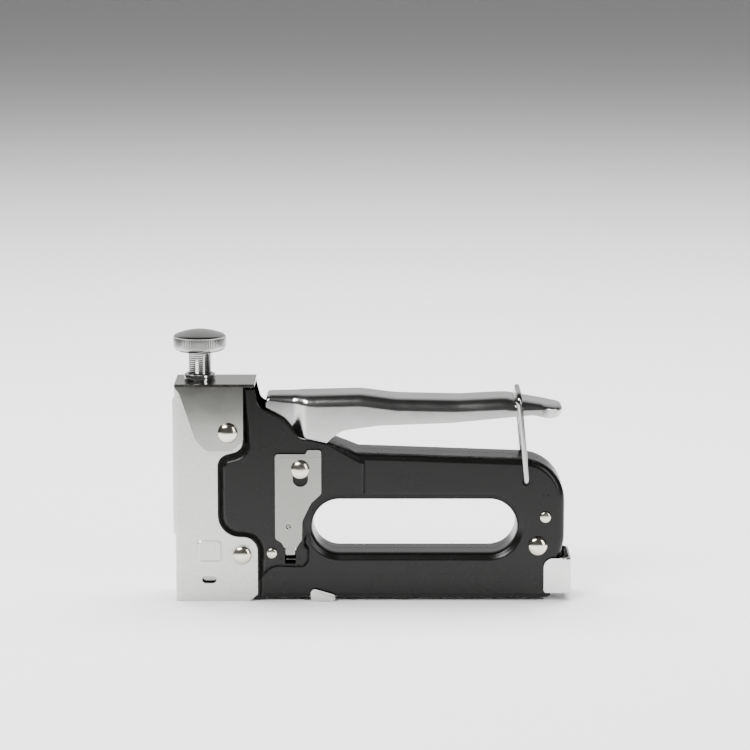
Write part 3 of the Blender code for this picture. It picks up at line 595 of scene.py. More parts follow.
def build_channel():
    corners = [
        (NOSE, 0.0, 0.0),
        (NOSE + 28.0, 0.0, 0.4),
        (NOSE + 31.1, 2.7, 0.4),
        *reversed(channel_rear()),
        (NOSE + 25.7, TOP - 1.3, 0.3),
        (NOSE, TOP - 1.3, 0.0),
    ]

    def side(inset):
        moved = [(x + inset if x == NOSE else x, z, radius) for x, z, radius in corners]
        return outline(moved)

    channel = loft("nose_channel", full_layers(CHANNEL_OUTER, 1.6, side))
    inside = box_corners(NOSE + 1.0, NOSE + 50.0, -5.0, TOP + 5.0)
    cut(channel, slab("space", -CHANNEL_INNER, CHANNEL_INNER, outline(inside)))
    steps = 6
    ridge = []
    for step in range(steps + 1):
        turn = math.pi * step / steps
        rise = math.sin(turn) ** 0.6
        front = BEAD_FRONT + 1.4 * (1 - rise)
        ridge.append((-3.4 * math.cos(turn), rise_outline(front, 1.4 * (1 - rise))))
    join(channel, loft("bead", ridge))
    boss = box_corners(NOSE + 8.0, NOSE + 17.7, 15.3, 23.8, 1.8)
    rim = (
        (CHANNEL_OUTER + 0.8, 1.1),
        (CHANNEL_OUTER + 0.72, 0.75),
        (CHANNEL_OUTER - 0.05, 0.0),
        (CHANNEL_INNER + 0.2, 0.0),
    )
    layers = [(-y, outline(boss, inset)) for y, inset in rim]
    join(channel, loft("boss", layers))
    join(channel, loft("boss", [(-y, points) for y, points in reversed(layers)]))
    cut(channel, slab("sight", -FAR, FAR, slot_outline(*SIGHT_SLOT)))
    soften(channel, 0.15, 2, 45.0)
    tidy_mesh(channel)
    smooth(channel, 35.0)
    place(channel, "body", "front_channel", "silver_plate", silver_plate())


def rise_outline(front, trim):
    """Side of the bead down the channel's front, trimmed towards its ends."""
    return [
        Vector((front, 25.0 + trim)),
        Vector((NOSE + 0.5, 21.5 + trim)),
        Vector((NOSE + 0.5, TOP - 4.5 - trim)),
        Vector((front, TOP - 8.0 - trim)),
    ]


def build_cap():
    base = TOP - 25.6
    corners = [
        (NOSE + 0.1, TOP - 1.0, 0.0),
        (NOSE + 1.9, TOP - 3.3, 0.8),
        (NOSE + 8.0, TOP - 21.3, 4.0),
        (NOSE + 12.2, base, 3.0),
        (NOSE + 21.5, base, 3.0),
        (NOSE + 25.95, TOP - 21.8, 2.5),
        (NOSE + 25.95, TOP - 1.0, 0.0),
        (NOSE + 30.4, TOP - 1.0, 0.0),
        (NOSE + 30.4, TOP, 0.0),
        (NOSE + 0.1, TOP, 0.0),
    ]

    def side(drop):
        points = outline(corners)
        for point in points:
            if point.y > TOP - 0.5:
                point.y -= drop
        return points

    cap = loft("head_cap", full_layers(CAP_OUTER, 0.98, side))
    inside = box_corners(NOSE - 5.0, NOSE + 50.0, -5.0, TOP - 1.0)
    cut(cap, slab("space", -CAP_INNER, CAP_INNER, outline(inside)))
    shank = [(0.0, TOP + 5.0), (5.7, TOP + 5.0), (5.7, TOP - 5.0), (0.0, TOP - 5.0)]
    cut(cap, turned("bore", shank, (HAMMER_X, 0, 0), steps=48))
    soften(cap, 0.12, 2, 50.0)
    tidy_mesh(cap)
    smooth(cap, 35.0)
    place(cap, "body", "top_cap", "satin_steel", satin_steel("cap", (0.0, 0.0, 1.0), 0.015))


def build_plates():
    corners = [
        (NOSE + 41.3, 21.2, 1.0),
        (NOSE + 46.0, 21.2, 1.0),
        (NOSE + 48.1, 24.4, 1.5),
        (NOSE + 48.2, 31.5, 5.0),
        (NOSE + 51.6, 38.5, 3.0),
        (NOSE + 55.4, 42.0, 1.8),
        (NOSE + 55.4, PIVOT.z + 7.6, 1.0),
        (NOSE + 50.2, PIVOT.z + 7.6, 0.8),
        (NOSE + 49.4, PIVOT.z + 6.0, 0.6),
        (NOSE + 37.9, PIVOT.z + 6.0, 1.2),
        (NOSE + 37.9, 24.6, 1.4),
        (NOSE + 40.2, 23.2, 1.0),
    ]
    layers = [(-PLATE_OUTER, outline(corners, 0.12)), (0.12 - PLATE_OUTER, outline(corners))]
    plate = loft("left_pivot_plate", [*layers, (-PLATE_INNER, outline(corners))])
    hook = box_corners(NOSE + 41.8, NOSE + 45.4, 18.5, 21.9, 0.5)
    join(plate, slab("hook", -PLATE_INNER - 0.3, -PANEL_INNER - 0.2, outline(hook)))
    groove = box_corners(NOSE + 40.0, NOSE + 47.0, 20.9, 21.35)
    cut(plate, slab("groove", -FAR, -PLATE_INNER - 0.15, outline(groove)))
    slot = box_corners(PIVOT.x - 2.9, PIVOT.x + 2.9, PIVOT.z - 6.6, PIVOT.z + 2.9, 2.85)
    cut(plate, slab("slot", -FAR, 1.0, outline(slot)))
    fold = box_corners(NOSE + 30.0, NOSE + 60.0, PIVOT.z + 4.75, PIVOT.z + 4.95)
    cut(plate, slab("fold", -FAR, 0.12 - PLATE_OUTER, outline(fold)))
    dimple_z = 29.5
    bowl = [(0.0, 2.0), (0.95, 2.0), (0.95, 0.0), (0.7, -0.35), (0.35, -0.5), (0.0, -0.55)]
    cut(plate, turned("dimple", bowl, (NOSE + 42.9, -PLATE_OUTER, dimple_z), "-Y", 24))
    soften(plate, 0.08, 1, 50.0)
    tidy_mesh(plate)
    right = mirrored(plate, "right_pivot_plate")
    for obj in (plate, right):
        smooth(obj, 35.0)
    # painted shade: the pivot plates get a darker copy of the cap's satin plating, tone 0.7
    metal = satin_steel("plate", (1.0, 0.0, 0.0), 0.01, 0.7)
    place(plate, "body", "pivot_plate_left", "satin_steel", metal)
    place(right, "body", "pivot_plate_right", "satin_steel", metal)


def build_rivets():
    metal = nickel()
    through = {
        "nose_rivet": ("nose_rivet_domes", 3.6, 2.0),
        "front_small_rivet": ("front_rivet_domes", 1.95, 1.0),
        "rear_small_rivet": ("rear_rivet_domes", 2.1, 1.0),
        "magazine_hinge_pin": ("hinge_pin_domes", 3.65, 2.0),
        "lever_pivot_pin": ("pivot_pin_domes", 3.6, 2.0),
    }
    for node, (name, head, height) in through.items():
        centre = middle(node)
        seat = high(node).y - height
        shank = head * 0.55
        near = dome(head, height, seat)
        profile = [*near, (shank, seat), (shank, -seat)]
        profile += [(radius, -y) for radius, y in reversed(near)]
        piece = turned(name, profile, (centre.x, 0.0, centre.z), "+Y", 48)
        smooth(piece, 40.0)
        place(piece, "body", node, "nickel", metal)
    for node, along in (("cap_rivet_left", "-Y"), ("cap_rivet_right", "+Y")):
        centre = middle(node)
        seat = CAP_OUTER + GAP
        profile = [*dome(3.8, 2.09, seat), (1.8, seat), (1.8, HEAD_INNER + 0.1), (0.0, HEAD_INNER + 0.1)]
        piece = turned(node + "_dome", profile, (centre.x, 0.0, centre.z), along, 48)
        smooth(piece, 40.0)
        place(piece, "body", node, "nickel", metal)


def build_knob():
    """Knurled knob, threaded screw and the bush that it turns in."""
    top = high("tension_knob").z
    base = low("tension_knob").z
    radius = high("tension_knob").x - HAMMER_X
    teeth = sizes().knurl_teeth
    rim = top - KNOB_DOME
    bore = STEM + 0.3
    profile = []
    for step in range(12):
        reach = (radius - 0.9) * step / 12
        profile.append((reach, rim + KNOB_DOME * (1 - (reach / (radius - 0.7)) ** 2)))
    profile += [(radius - 0.9, rim + 0.12), (radius - 0.55, rim - 0.12), (radius - 0.15, rim - 0.5)]
    profile += [(radius, rim - 0.9), (radius, base + 2.0), (radius - 0.35, base + 1.1)]
    profile += [(radius - 1.0, base + 0.3), (radius - 1.6, base)]
    profile += [(bore + 0.4, base), (bore, base + 0.3), (bore, rim - 1.6), (0.0, rim - 1.6)]
    knob = turned("knurled_knob", profile, (HAMMER_X, 0, 0), steps=teeth * 2)
    for vertex in knob.data.vertices:
        x = vertex.co.x / MM - HAMMER_X
        y = vertex.co.y / MM
        z = vertex.co.z / MM
        reach = math.hypot(x, y)
        valley = round(math.atan2(y, x) / math.pi * teeth) % 2
        if valley and reach > 7.0 and base + 0.1 < z < rim - 0.7:
            share = (reach - 0.5) / reach
            vertex.co.x = (HAMMER_X + x * share) * MM
            vertex.co.y = y * share * MM
    smooth(knob, 28.0)
    # painted shade: the knob and its screw get a darker copy of the chrome, tone 0.68, standing in for
    # darker reflections
    bright = chrome("knob", 0.12, 0.68)
    place(knob, "knob", "tension_knob", "chrome", bright)

    pitch = sizes().thread_pitch / MM
    screw_top = high("tension_screw").z
    screw_low = low("tension_screw").z
    profile = [(0.0, screw_top), (STEM - 0.2, screw_top)]
    z = screw_top - 0.3
    while z - pitch > screw_low + 3.2:
        profile += [(STEM - 0.16, z), (STEM, z - pitch * 0.4), (STEM, z - pitch * 0.6)]
        z -= pitch
    profile += [(STEM - 0.4, z), (STEM - 1.0, screw_low + 2.2), (STEM - 1.0, screw_low), (0.0, screw_low)]
    screw = turned("threaded_stem", profile, (HAMMER_X, 0, 0), steps=48)
    smooth(screw, 30.0)
    place(screw, "knob", "tension_screw", "chrome", bright)

    collar = high("threaded_bush").x - HAMMER_X
    profile = [(bore, TOP + 2.5), (collar - 0.6, TOP + 2.5), (collar - 0.15, TOP + 2.2)]
    profile += [(collar, TOP + 1.7), (collar, TOP + 0.45), (collar - 0.15, TOP + 0.3)]
    profile += [(collar - 0.6, TOP + 0.3), (collar - 0.6, TOP - 4.0), (bore, TOP - 4.0)]
    bush = turned("bush_collar", profile, (HAMMER_X, 0, 0), steps=64, closed=True)
    smooth(bush, 30.0)
    place(bush, "body", "threaded_bush", "chrome", chrome("collar", 0.1))


def lever_side(drop):
    """Side of the squeeze lever; drop lowers its top edge and pulls in its tip."""
    corners = [
        (PIVOT.x - 6.4, PIVOT.z - 6.4, 6.2),
        (PIVOT.x + 6.4, PIVOT.z - 6.4, 6.2),
        (PIVOT.x + 9.5, TOP - 22.5, 8.0),
        (PIVOT.x + 16.0, TOP - 17.9, 7.0),
        (PIVOT.x + 30.0, TOP - 16.0, 16.0),
        (TAIL - 46.0, TOP - 15.0, 14.0),
        (TAIL - 15.0, TOP - 12.0, 7.0),
        (TAIL - 8.5, TOP - 13.4, 4.0),
        (TAIL - 3.9, TOP - 13.2, 2.2),
        (TAIL - 3.6, TOP - 9.4, 1.6),
        (TAIL - 25.0, TOP - 5.5, 22.0),
        (TAIL - 42.7, TOP - 6.4, 30.0),
        (PIVOT.x + 36.0, TOP - 5.9, 30.0),
        (PIVOT.x + 23.0, TOP - 4.2, 16.0),
        (PIVOT.x + 6.0, TOP - 4.6, 16.0),
        (PIVOT.x - 13.0, TOP - 4.9, 1.8),
        (PIVOT.x - 13.0, TOP - 10.8, 2.0),
        (PIVOT.x - 5.6, TOP - 15.8, 4.0),
        (PIVOT.x - 2.4, TOP - 20.0, 3.0),
    ]
    points = outline(corners)
    for point in points:
        edge = TOP - 12.0 if point.x > PIVOT.x else TOP - 9.5
        share = min(1.0, max(0.0, (point.y - edge) / 2.5))
        taper = min(1.0, (TAIL - 1.6 - point.x) / 20.0, 0.35 + (point.x - PIVOT.x + 13.0) / 12.0)
        point.y -= drop * share * taper
        point.x -= 0.5 * drop * max(0.0, (point.x - TAIL + 9.6) / 6.0)
    return points


def lever_space(drop):
    """Side of the hollow under the lever."""
    sheet = LEVER_SHEET
    corners = [
        (PIVOT.x - 30.0, PIVOT.z - 20.0, 0.0),
        (TAIL - 6.5, PIVOT.z - 20.0, 0.0),
        (TAIL - 6.5, TOP - 11.4, 1.0),
        (TAIL - 25.0, TOP - 5.5 - sheet, 22.0),
        (TAIL - 42.7, TOP - 6.4 - sheet, 30.0),
        (PIVOT.x + 36.0, TOP - 5.9 - sheet, 30.0),
        (PIVOT.x + 23.0, TOP - 4.2 - sheet, 16.0),
        (PIVOT.x + 6.0, TOP - 4.7 - sheet, 16.0),
        (PIVOT.x - 30.0, TOP - 5.0 - sheet, 0.0),
    ]
    points = outline(corners)
    for point in points:
        if point.y > TOP - 12.0:
            point.y -= drop
    return points


def build_lever():
    """One folded channel with a round tip, drawn in ahead of its pivot to swing inside the head."""
    rounding = sizes().lever_round / MM
    lever = loft("lever_channel", full_layers(LEVER_HALF, rounding, lever_side, 9))
    cut(lever, loft("space", full_layers(LEVER_HALF - LEVER_SHEET, rounding - LEVER_SHEET, lever_space, 6)))
    cut(lever, slab("hole", -FAR, FAR, circle_outline(PIVOT.x, PIVOT.z, 2.8)))
    soften(lever, 0.3, 3, 50.0)
    nose = [PIVOT.x - 3.0 + step * 0.75 for step in range(9)]
    tip = [TAIL - 12.0 + step * 0.8 for step in range(10)]
    slice_at(lever, nose + tip)
    narrow = LEVER_NOSE_HALF / LEVER_HALF
    for vertex in lever.data.vertices:
        x = vertex.co.x / MM
        along = min(1.0, max(0.0, (x - nose[0]) / 6.0))
        vertex.co.y *= narrow + (1 - narrow) * along * along * (3 - 2 * along)
        beyond = max(0.0, (x - tip[0]) / 8.4)
        vertex.co.y *= 1 - 0.42 * beyond**2
    tidy_mesh(lever)
    smooth(lever, 32.0)
    place(lever, "lever", "squeeze_lever", "chrome", chrome("lever", 0.13))


def build_bail():
    """Wire bail: two legs bent in at the grip, with a crossbar over the lever."""
    half = high("lock_bail").y - BAIL_WIRE / 2
    bend = 3.2
    down = Vector((math.sin(BAIL_LEAN), -math.cos(BAIL_LEAN)))
    top = Vector((BAIL_X, BAIL_Z)) - down * BAIL_REACH
    points = [(BAIL_X, -HEAD_OUTER, BAIL_Z), (BAIL_X, -half + 1.8, BAIL_Z)]
    for step in range(1, 7):
        turn = math.pi / 2 * step / 6
        points.append((BAIL_X, -half + 1.8 * (1 - math.sin(turn)), BAIL_Z + 1.8 * (1 - math.cos(turn))))
    for step in range(9):
        turn = math.pi / 2 * step / 8
        back = bend * (1 - math.sin(turn))
        across = half - bend * (1 - math.cos(turn))
        points.append((top.x + down.x * back, -across, top.y + down.y * back))
    points += [(x, -y, z) for x, y, z in reversed(points)]
    piece = wire("bail_wire", points, BAIL_WIRE, 5)
    # painted shade: the bail gets a darker copy of the chrome, tone 0.7, standing in for darker reflections
    place(piece, "bail", "lock_bail", "chrome", chrome("bail", 0.1, 0.7))


def helix(radius, start, length, turns, per_turn):
    points = []
    for step in range(round(turns * per_turn) + 1):
        angle = 2 * math.pi * step / per_turn
        share = step / (turns * per_turn)
        points.append((radius * math.cos(angle), radius * math.sin(angle), start + length * share))
    return points


def build_springs():
    start = low("main_spring").z + MAIN_WIRE / 2
    length = high("main_spring").z - MAIN_WIRE / 2 - start
    coil = helix(4.9, start, length, 7, 24)
    main = wire("main_coil", [(HAMMER_X + x, y, z) for x, y, z in coil], MAIN_WIRE, 3)
    steel = oiled_steel("spring")
    place(main, "body", "main_spring", "dark_steel", steel)

    start = low("pusher_spring").x + PUSHER_WIRE / 2
    length = high("pusher_spring").x - PUSHER_WIRE / 2 - start
    rod_z = middle("guide_rod").z
    coil = helix(2.6, start, length, 44, 14)
    pusher = wire("pusher_coil", [(along, y, rod_z + up) for y, up, along in coil], PUSHER_WIRE, 1)
    place(pusher, "pusher", "pusher_spring", "satin_steel", steel)


def build_end_cap():
    """Pusher cap: a strip folded round the rear of the magazine, with its rear corners well rounded."""
    left = low("pusher_cap").x
    base = low("pusher_cap").z
    top = high("pusher_cap").z
    outer = high("pusher_cap").y

    def side(inset):
        rear = TAIL - inset
        return outline([(left, base, 1.2), (rear, base, 0.8), (rear, top, 0.8), (left, top, 3.5)])

    cap = loft("rear_cap", full_layers(outer, 3.2, side, 10))

    def hollow(inset):
        return outline(box_corners(left - 5.0, TAIL - SHEET - inset, -5.0, 30.0))

    cut(cap, loft("space", full_layers(outer - 1.0, 2.3, hollow, 8)))
    soften(cap, 0.15, 2, 50.0)
    tidy_mesh(cap)
    smooth(cap, 35.0)
    place(cap, "pusher", "pusher_cap", "chrome", chrome("cap", 0.12))


def build_catch():
    """Finger catch: a strip under the magazine with both ends turned up outside the shells."""
    left = low("magazine_catch").x
    right = high("magazine_catch").x
    outer = high("magazine_catch").y

    def side(inset):
        corners = [(left, inset, 1.2), (right, inset, 1.0), (right, 2.7, 1.4), (left, 5.4, 1.6)]
        return outline(corners)

    catch = loft("finger_catch", full_layers(outer, 0.9, side, 6))
    inside = box_corners(left - 5.0, right + 5.0, 0.9, 20.0)
    cut(catch, slab("space", 1.0 - outer, outer - 1.0, outline(inside)))
    soften(catch, 0.15, 2, 50.0)
    tidy_mesh(catch)
    smooth(catch, 35.0)
    place(catch, "magazine", "magazine_catch", "chrome", chrome("catch", 0.14))


def dress_frame():
    """New materials for the plain pieces inside, which keep their own shape."""
    steel = oiled_steel("inside")
    rolled = satin_steel("magazine", (0.0, 0.0, 1.0), 0.08)
    finishes = {
        steel: ("hammer", "spring_seat", "lifting_arm", "lever_return_spring", "staple_follower",
                "front_spacer", "rear_spacer"),
        rolled: ("driver_blade", "magazine_channel", "staple_rail", "guide_rod"),
    }
    for material, nodes in finishes.items():
        for node in nodes:
            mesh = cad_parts[node].data
            mesh.materials.clear()
            mesh.materials.append(material)


# Materials


def group(name, inputs, outputs):
    """An empty shader group with these sockets; the caller wires it."""
    tree = bpy.data.node_groups.new(name, "ShaderNodeTree")
    for socket, value in inputs.items():
        made = tree.interface.new_socket(socket, in_out="INPUT", socket_type="NodeSocketFloat")
        made.default_value = value
    for socket, kind in outputs.items():
        tree.interface.new_socket(socket, in_out="OUTPUT", socket_type=kind)
    return tree, tree.nodes.new("NodeGroupInput"), tree.nodes.new("NodeGroupOutput")


def noise(tree, vector, scale, detail=3.0, roughness=0.5):
    node = tree.nodes.new("ShaderNodeTexNoise")
    node.inputs["Detail"].default_value = detail
    node.inputs["Roughness"].default_value = roughness
    if isinstance(scale, (int, float)):
        node.inputs["Scale"].default_value = scale
    else:
        tree.links.new(scale, node.inputs["Scale"])
    tree.links.new(vector, node.inputs["Vector"])
    return node.outputs["Fac"]


def remap(tree, value, from_low, from_high, to_low, to_high):
    node = tree.nodes.new("ShaderNodeMapRange")
    limits = {"From Min": from_low, "From Max": from_high, "To Min": to_low, "To Max": to_high}
    for name, number in limits.items():
        if isinstance(number, (int, float)):
            node.inputs[name].default_value = number
        else:
            tree.links.new(number, node.inputs[name])
    tree.links.new(value, node.inputs["Value"])
    return node.outputs["Result"]


def maths(tree, operation, first, second):
    node = tree.nodes.new("ShaderNodeMath")
    node.operation = operation
    for socket, value in zip(node.inputs, (first, second)):
        if isinstance(value, (int, float)):
            socket.default_value = value
        else:
            tree.links.new(value, socket)
    return node.outputs["Value"]


def position(tree, stretch=(1.0, 1.0, 1.0)):
    """Object coordinates, stretched along each axis."""
    coordinates = tree.nodes.new("ShaderNodeTexCoord")
    mapping = tree.nodes.new("ShaderNodeMapping")
    mapping.inputs["Scale"].default_value = stretch
    tree.links.new(coordinates.outputs["Object"], mapping.inputs["Vector"])
    return mapping.outputs["Vector"]


def surface_group():
    """Handled-metal surface: smudges in the gloss, fine grain and shallow waves in the height."""
    found = bpy.data.node_groups.get("handled_surface")
    if found:
        return found
    inputs = {"Roughness": 0.3, "Smudge": 0.1, "Grain Scale": 3000.0, "Grain": 0.5, "Wave": 0.5}
    outputs = {"Roughness": "NodeSocketFloat", "Height": "NodeSocketFloat", "Mask": "NodeSocketFloat"}
    tree, given, out = group("handled_surface", inputs, outputs)
    place_at = position(tree)
    cloud = remap(tree, noise(tree, place_at, 55.0, 4.0, 0.6), 0.35, 0.7, 0.0, 1.0)
    fine = noise(tree, place_at, given.outputs["Grain Scale"], 2.0, 0.6)
    wave = noise(tree, place_at, 95.0, 1.0, 0.4)
    smudged = maths(tree, "MULTIPLY", cloud, given.outputs["Smudge"])
    tree.links.new(maths(tree, "ADD", given.outputs["Roughness"], smudged), out.inputs["Roughness"])
    grain = maths(tree, "MULTIPLY", fine, given.outputs["Grain"])
    swell = maths(tree, "MULTIPLY", wave, given.outputs["Wave"])
    tree.links.new(maths(tree, "ADD", grain, swell), out.inputs["Height"])
    tree.links.new(cloud, out.inputs["Mask"])
    return tree


def brush_group():
    """Brushed lines: a height and a mask from noise drawn out along the object's length or height."""
    found = bpy.data.node_groups.get("brushed_lines")
    if found:
        return found
    inputs = {"Along X": 40.0, "Along Y": 2500.0, "Along Z": 2500.0}
    outputs = {"Height": "NodeSocketFloat", "Mask": "NodeSocketFloat"}
    tree, given, out = group("brushed_lines", inputs, outputs)
    coordinates = tree.nodes.new("ShaderNodeTexCoord")
    scale = tree.nodes.new("ShaderNodeCombineXYZ")
    for name, socket in (("Along X", "X"), ("Along Y", "Y"), ("Along Z", "Z")):
        tree.links.new(given.outputs[name], scale.inputs[socket])
    stretch = tree.nodes.new("ShaderNodeVectorMath")
    stretch.operation = "MULTIPLY"
    tree.links.new(coordinates.outputs["Object"], stretch.inputs[0])
    tree.links.new(scale.outputs["Vector"], stretch.inputs[1])
    lines = noise(tree, stretch.outputs["Vector"], 1.0, 3.0, 0.55)
    tree.links.new(lines, out.inputs["Height"])
    tree.links.new(remap(tree, lines, 0.35, 0.65, 0.0, 1.0), out.inputs["Mask"])
    return tree


def use(tree, shared, **values):
    node = tree.nodes.new("ShaderNodeGroup")
    node.node_tree = shared
    for name, value in values.items():
        node.inputs[name.replace("_", " ")].default_value = value
    return node


def mix_colour(tree, mask, first, second):
    node = tree.nodes.new("ShaderNodeMix")
    node.data_type = "RGBA"
    tree.links.new(mask, node.inputs[0])
    node.inputs[6].default_value = (*first, 1.0)
    node.inputs[7].default_value = (*second, 1.0)
    return node.outputs[2]


def shaded(colour, factor):
    return tuple(min(1.0, channel * factor) for channel in colour)


def new_material(name, metallic):
    material = bpy.data.materials.new(name)
    material.use_nodes = True
    tree = material.node_tree
    shader = tree.nodes["Principled BSDF"]
    shader.inputs["Metallic"].default_value = metallic
    return material, tree, shader


def bump(tree, shader, height, distance, strength=1.0):
    node = tree.nodes.new("ShaderNodeBump")
    node.inputs["Strength"].default_value = strength
    node.inputs["Distance"].default_value = distance * MM
    tree.links.new(height, node.inputs["Height"])
    tree.links.new(node.outputs["Normal"], shader.inputs["Normal"])


def black_paint():
    """Stoved black enamel: deep gloss with a faint orange peel and a little settled dust."""
    material, tree, shader = new_material("black_enamel", 0.0)
    finish = {"Roughness": 0.25, "Smudge": 0.04}
    grain = {"Grain_Scale": 700.0, "Grain": 0.05, "Wave": 0.3}
    surface = use(tree, surface_group(), **finish, **grain)
    colour = tuple(colours().paint)
    mixed = mix_colour(tree, surface.outputs["Mask"], colour, shaded(colour, 1.15))
    tree.links.new(mixed, shader.inputs["Base Color"])
    tree.links.new(surface.outputs["Roughness"], shader.inputs["Roughness"])
    shader.inputs["Specular IOR Level"].default_value = 0.25
    bump(tree, shader, surface.outputs["Height"], 0.045)
    return material


def silver_plate():
    """Pale matte plating with a fine sparkling grain."""
    material, tree, shader = new_material("silver_grain", 0.85)
    finish = {"Roughness": 0.40, "Smudge": 0.10}
    grain = {"Grain_Scale": 4200.0, "Grain": 0.8, "Wave": 0.25}
    surface = use(tree, surface_group(), **finish, **grain)
    colour = tuple(colours().silver)
    speck = remap(tree, noise(tree, position(tree), 5200.0, 2.0, 0.7), 0.38, 0.62, 0.0, 1.0)
    mixed = mix_colour(tree, speck, shaded(colour, 0.78), shaded(colour, 1.14))
    tree.links.new(mixed, shader.inputs["Base Color"])
    tree.links.new(surface.outputs["Roughness"], shader.inputs["Roughness"])
    bump(tree, shader, surface.outputs["Height"], 0.03, 0.8)
    return material


def satin_steel(name, lines, contrast, tone=1.0):
    """Satin plating brushed one way; contrast is how far the lines show, and a tone below 1 darkens it into
    a shaded copy of the same plating, painted shade.
    """
    material, tree, shader = new_material("satin_" + name, 1.0)
    along = [35.0 if share else 2600.0 for share in lines]
    brushed = use(tree, brush_group(), Along_X=along[0], Along_Y=along[1], Along_Z=along[2])
    finish = {"Roughness": 0.12, "Smudge": 0.05}
    grain = {"Grain_Scale": 3000.0, "Grain": 0.15, "Wave": 0.3}
    surface = use(tree, surface_group(), **finish, **grain)
    # painted shade: a tone below 1 darkens the plating's colour, a shaded copy of the same plating
    colour = shaded(tuple(colours().satin), tone)
    dark = shaded(colour, 1 - contrast)
    light = shaded(colour, 1 + contrast)
    mixed = mix_colour(tree, brushed.outputs["Mask"], dark, light)
    tree.links.new(mixed, shader.inputs["Base Color"])
    tree.links.new(surface.outputs["Roughness"], shader.inputs["Roughness"])
    lined = maths(tree, "MULTIPLY", brushed.outputs["Height"], 7.0 * contrast)
    height = maths(tree, "ADD", lined, surface.outputs["Height"])
    bump(tree, shader, height, 0.02, 0.7)
    return material


def chrome(name, roughness, tone=1.0):
    """Bright plating over pressed steel, slightly wavy and marked by handling; a tone below 1 darkens it
    into a shaded copy, painted shade standing in for darker reflections.
    """
    material, tree, shader = new_material("chrome_" + name, 1.0)
    finish = {"Roughness": roughness, "Smudge": 0.10}
    grain = {"Grain_Scale": 1800.0, "Grain": 0.08, "Wave": 1.0}
    surface = use(tree, surface_group(), **finish, **grain)
    # painted shade: a tone below 1 darkens the plating's colour, standing in for darker reflections
    colour = shaded(tuple(colours().chrome), tone)
    mixed = mix_colour(tree, surface.outputs["Mask"], colour, shaded(colour, 0.9))
    tree.links.new(mixed, shader.inputs["Base Color"])
    tree.links.new(surface.outputs["Roughness"], shader.inputs["Roughness"])
    bump(tree, shader, surface.outputs["Height"], 0.05, 0.7)
    return material


def nickel():
    """Warm bright plating of the rivet heads."""
    material, tree, shader = new_material("warm_nickel", 1.0)
    finish = {"Roughness": 0.13, "Smudge": 0.12}
    grain = {"Grain_Scale": 2500.0, "Grain": 0.15, "Wave": 0.6}
    surface = use(tree, surface_group(), **finish, **grain)
    colour = tuple(colours().nickel)
    mixed = mix_colour(tree, surface.outputs["Mask"], colour, shaded(colour, 0.86))
    tree.links.new(mixed, shader.inputs["Base Color"])
    tree.links.new(surface.outputs["Roughness"], shader.inputs["Roughness"])
    bump(tree, shader, surface.outputs["Height"], 0.02, 0.6)
    return material


def oiled_steel(name):
    """Dark steel with a film of oil."""
    material, tree, shader = new_material("oiled_steel_" + name, 1.0)
    finish = {"Roughness": 0.28, "Smudge": 0.25}
    grain = {"Grain_Scale": 1500.0, "Grain": 0.5, "Wave": 0.3}
    surface = use(tree, surface_group(), **finish, **grain)
    colour = tuple(colours().steel)
    mixed = mix_colour(tree, surface.outputs["Mask"], colour, shaded(colour, 0.6))
    tree.links.new(mixed, shader.inputs["Base Color"])
    tree.links.new(surface.outputs["Roughness"], shader.inputs["Roughness"])
    bump(tree, shader, surface.outputs["Height"], 0.03, 0.7)
    return material


# Stage

CAMERA_DISTANCE = 1150.0
CAMERA_RISE = math.radians(10.0)
CAMERA_TARGET = Vector((1.2, -10.0, 87.4))
VIEW_WIDTH = 282.0
SENSOR = 36.0


def plain_material(name, colour, roughness):
    material, _, shader = new_material(name, 0.0)
    shader.inputs["Base Color"].default_value = (*colour, 1.0)
    shader.inputs["Roughness"].default_value = roughness
    return material


def area_light(name, place_at, target, width, height, power):
    light = bpy.data.lights.new(name, "AREA")
    light.shape = "RECTANGLE"
    light.size = width
    light.size_y = height
    light.energy = power
    obj = bpy.data.objects.new(name, light)
    obj.location = place_at
    aim = Vector(target) - Vector(place_at)
    obj.rotation_euler = aim.to_track_quat("-Z", "Y").to_euler()
    bpy.context.scene.collection.objects.link(obj)
    return obj


def build_world():
    """Dim in front and overhead and bright behind, so that bright metal has something to show."""
    world = bpy.data.worlds.new("studio")
    world.use_nodes = True
    tree = world.node_tree
    surroundings = tree.nodes["Background"]
    coordinates = tree.nodes.new("ShaderNodeTexCoord")
    split = tree.nodes.new("ShaderNodeSeparateXYZ")
    tree.links.new(coordinates.outputs["Generated"], split.inputs["Vector"])
    ramp = tree.nodes.new("ShaderNodeValToRGB")
    ramp.color_ramp.elements[0].color = (0.05, 0.05, 0.05, 1.0)
    ramp.color_ramp.elements[1].color = (0.5, 0.5, 0.5, 1.0)
    for at, grey in ((0.3, 0.03), (0.6, 0.03), (0.72, 0.12), (0.85, 0.4)):
        stop = ramp.color_ramp.elements.new(at)
        stop.color = (grey, grey, grey, 1.0)
    behind = remap(tree, split.outputs["Y"], -1.0, 1.0, 0.0, 1.0)
    tree.links.new(behind, ramp.inputs["Fac"])
    tree.links.new(ramp.outputs["Color"], surroundings.inputs["Color"])
    surroundings.inputs["Strength"].default_value = 1.6
    backdrop = tree.nodes.new("ShaderNodeBackground")
    backdrop.inputs["Color"].default_value = (0.96, 0.96, 0.95, 1.0)
    backdrop.inputs["Strength"].default_value = 4.5
    path = tree.nodes.new("ShaderNodeLightPath")
    chosen = tree.nodes.new("ShaderNodeMixShader")
    tree.links.new(path.outputs["Is Camera Ray"], chosen.inputs["Fac"])
    tree.links.new(surroundings.outputs["Background"], chosen.inputs[1])
    tree.links.new(backdrop.outputs["Background"], chosen.inputs[2])
    tree.links.new(chosen.outputs["Shader"], tree.nodes["World Output"].inputs["Surface"])
    bpy.context.scene.world = world


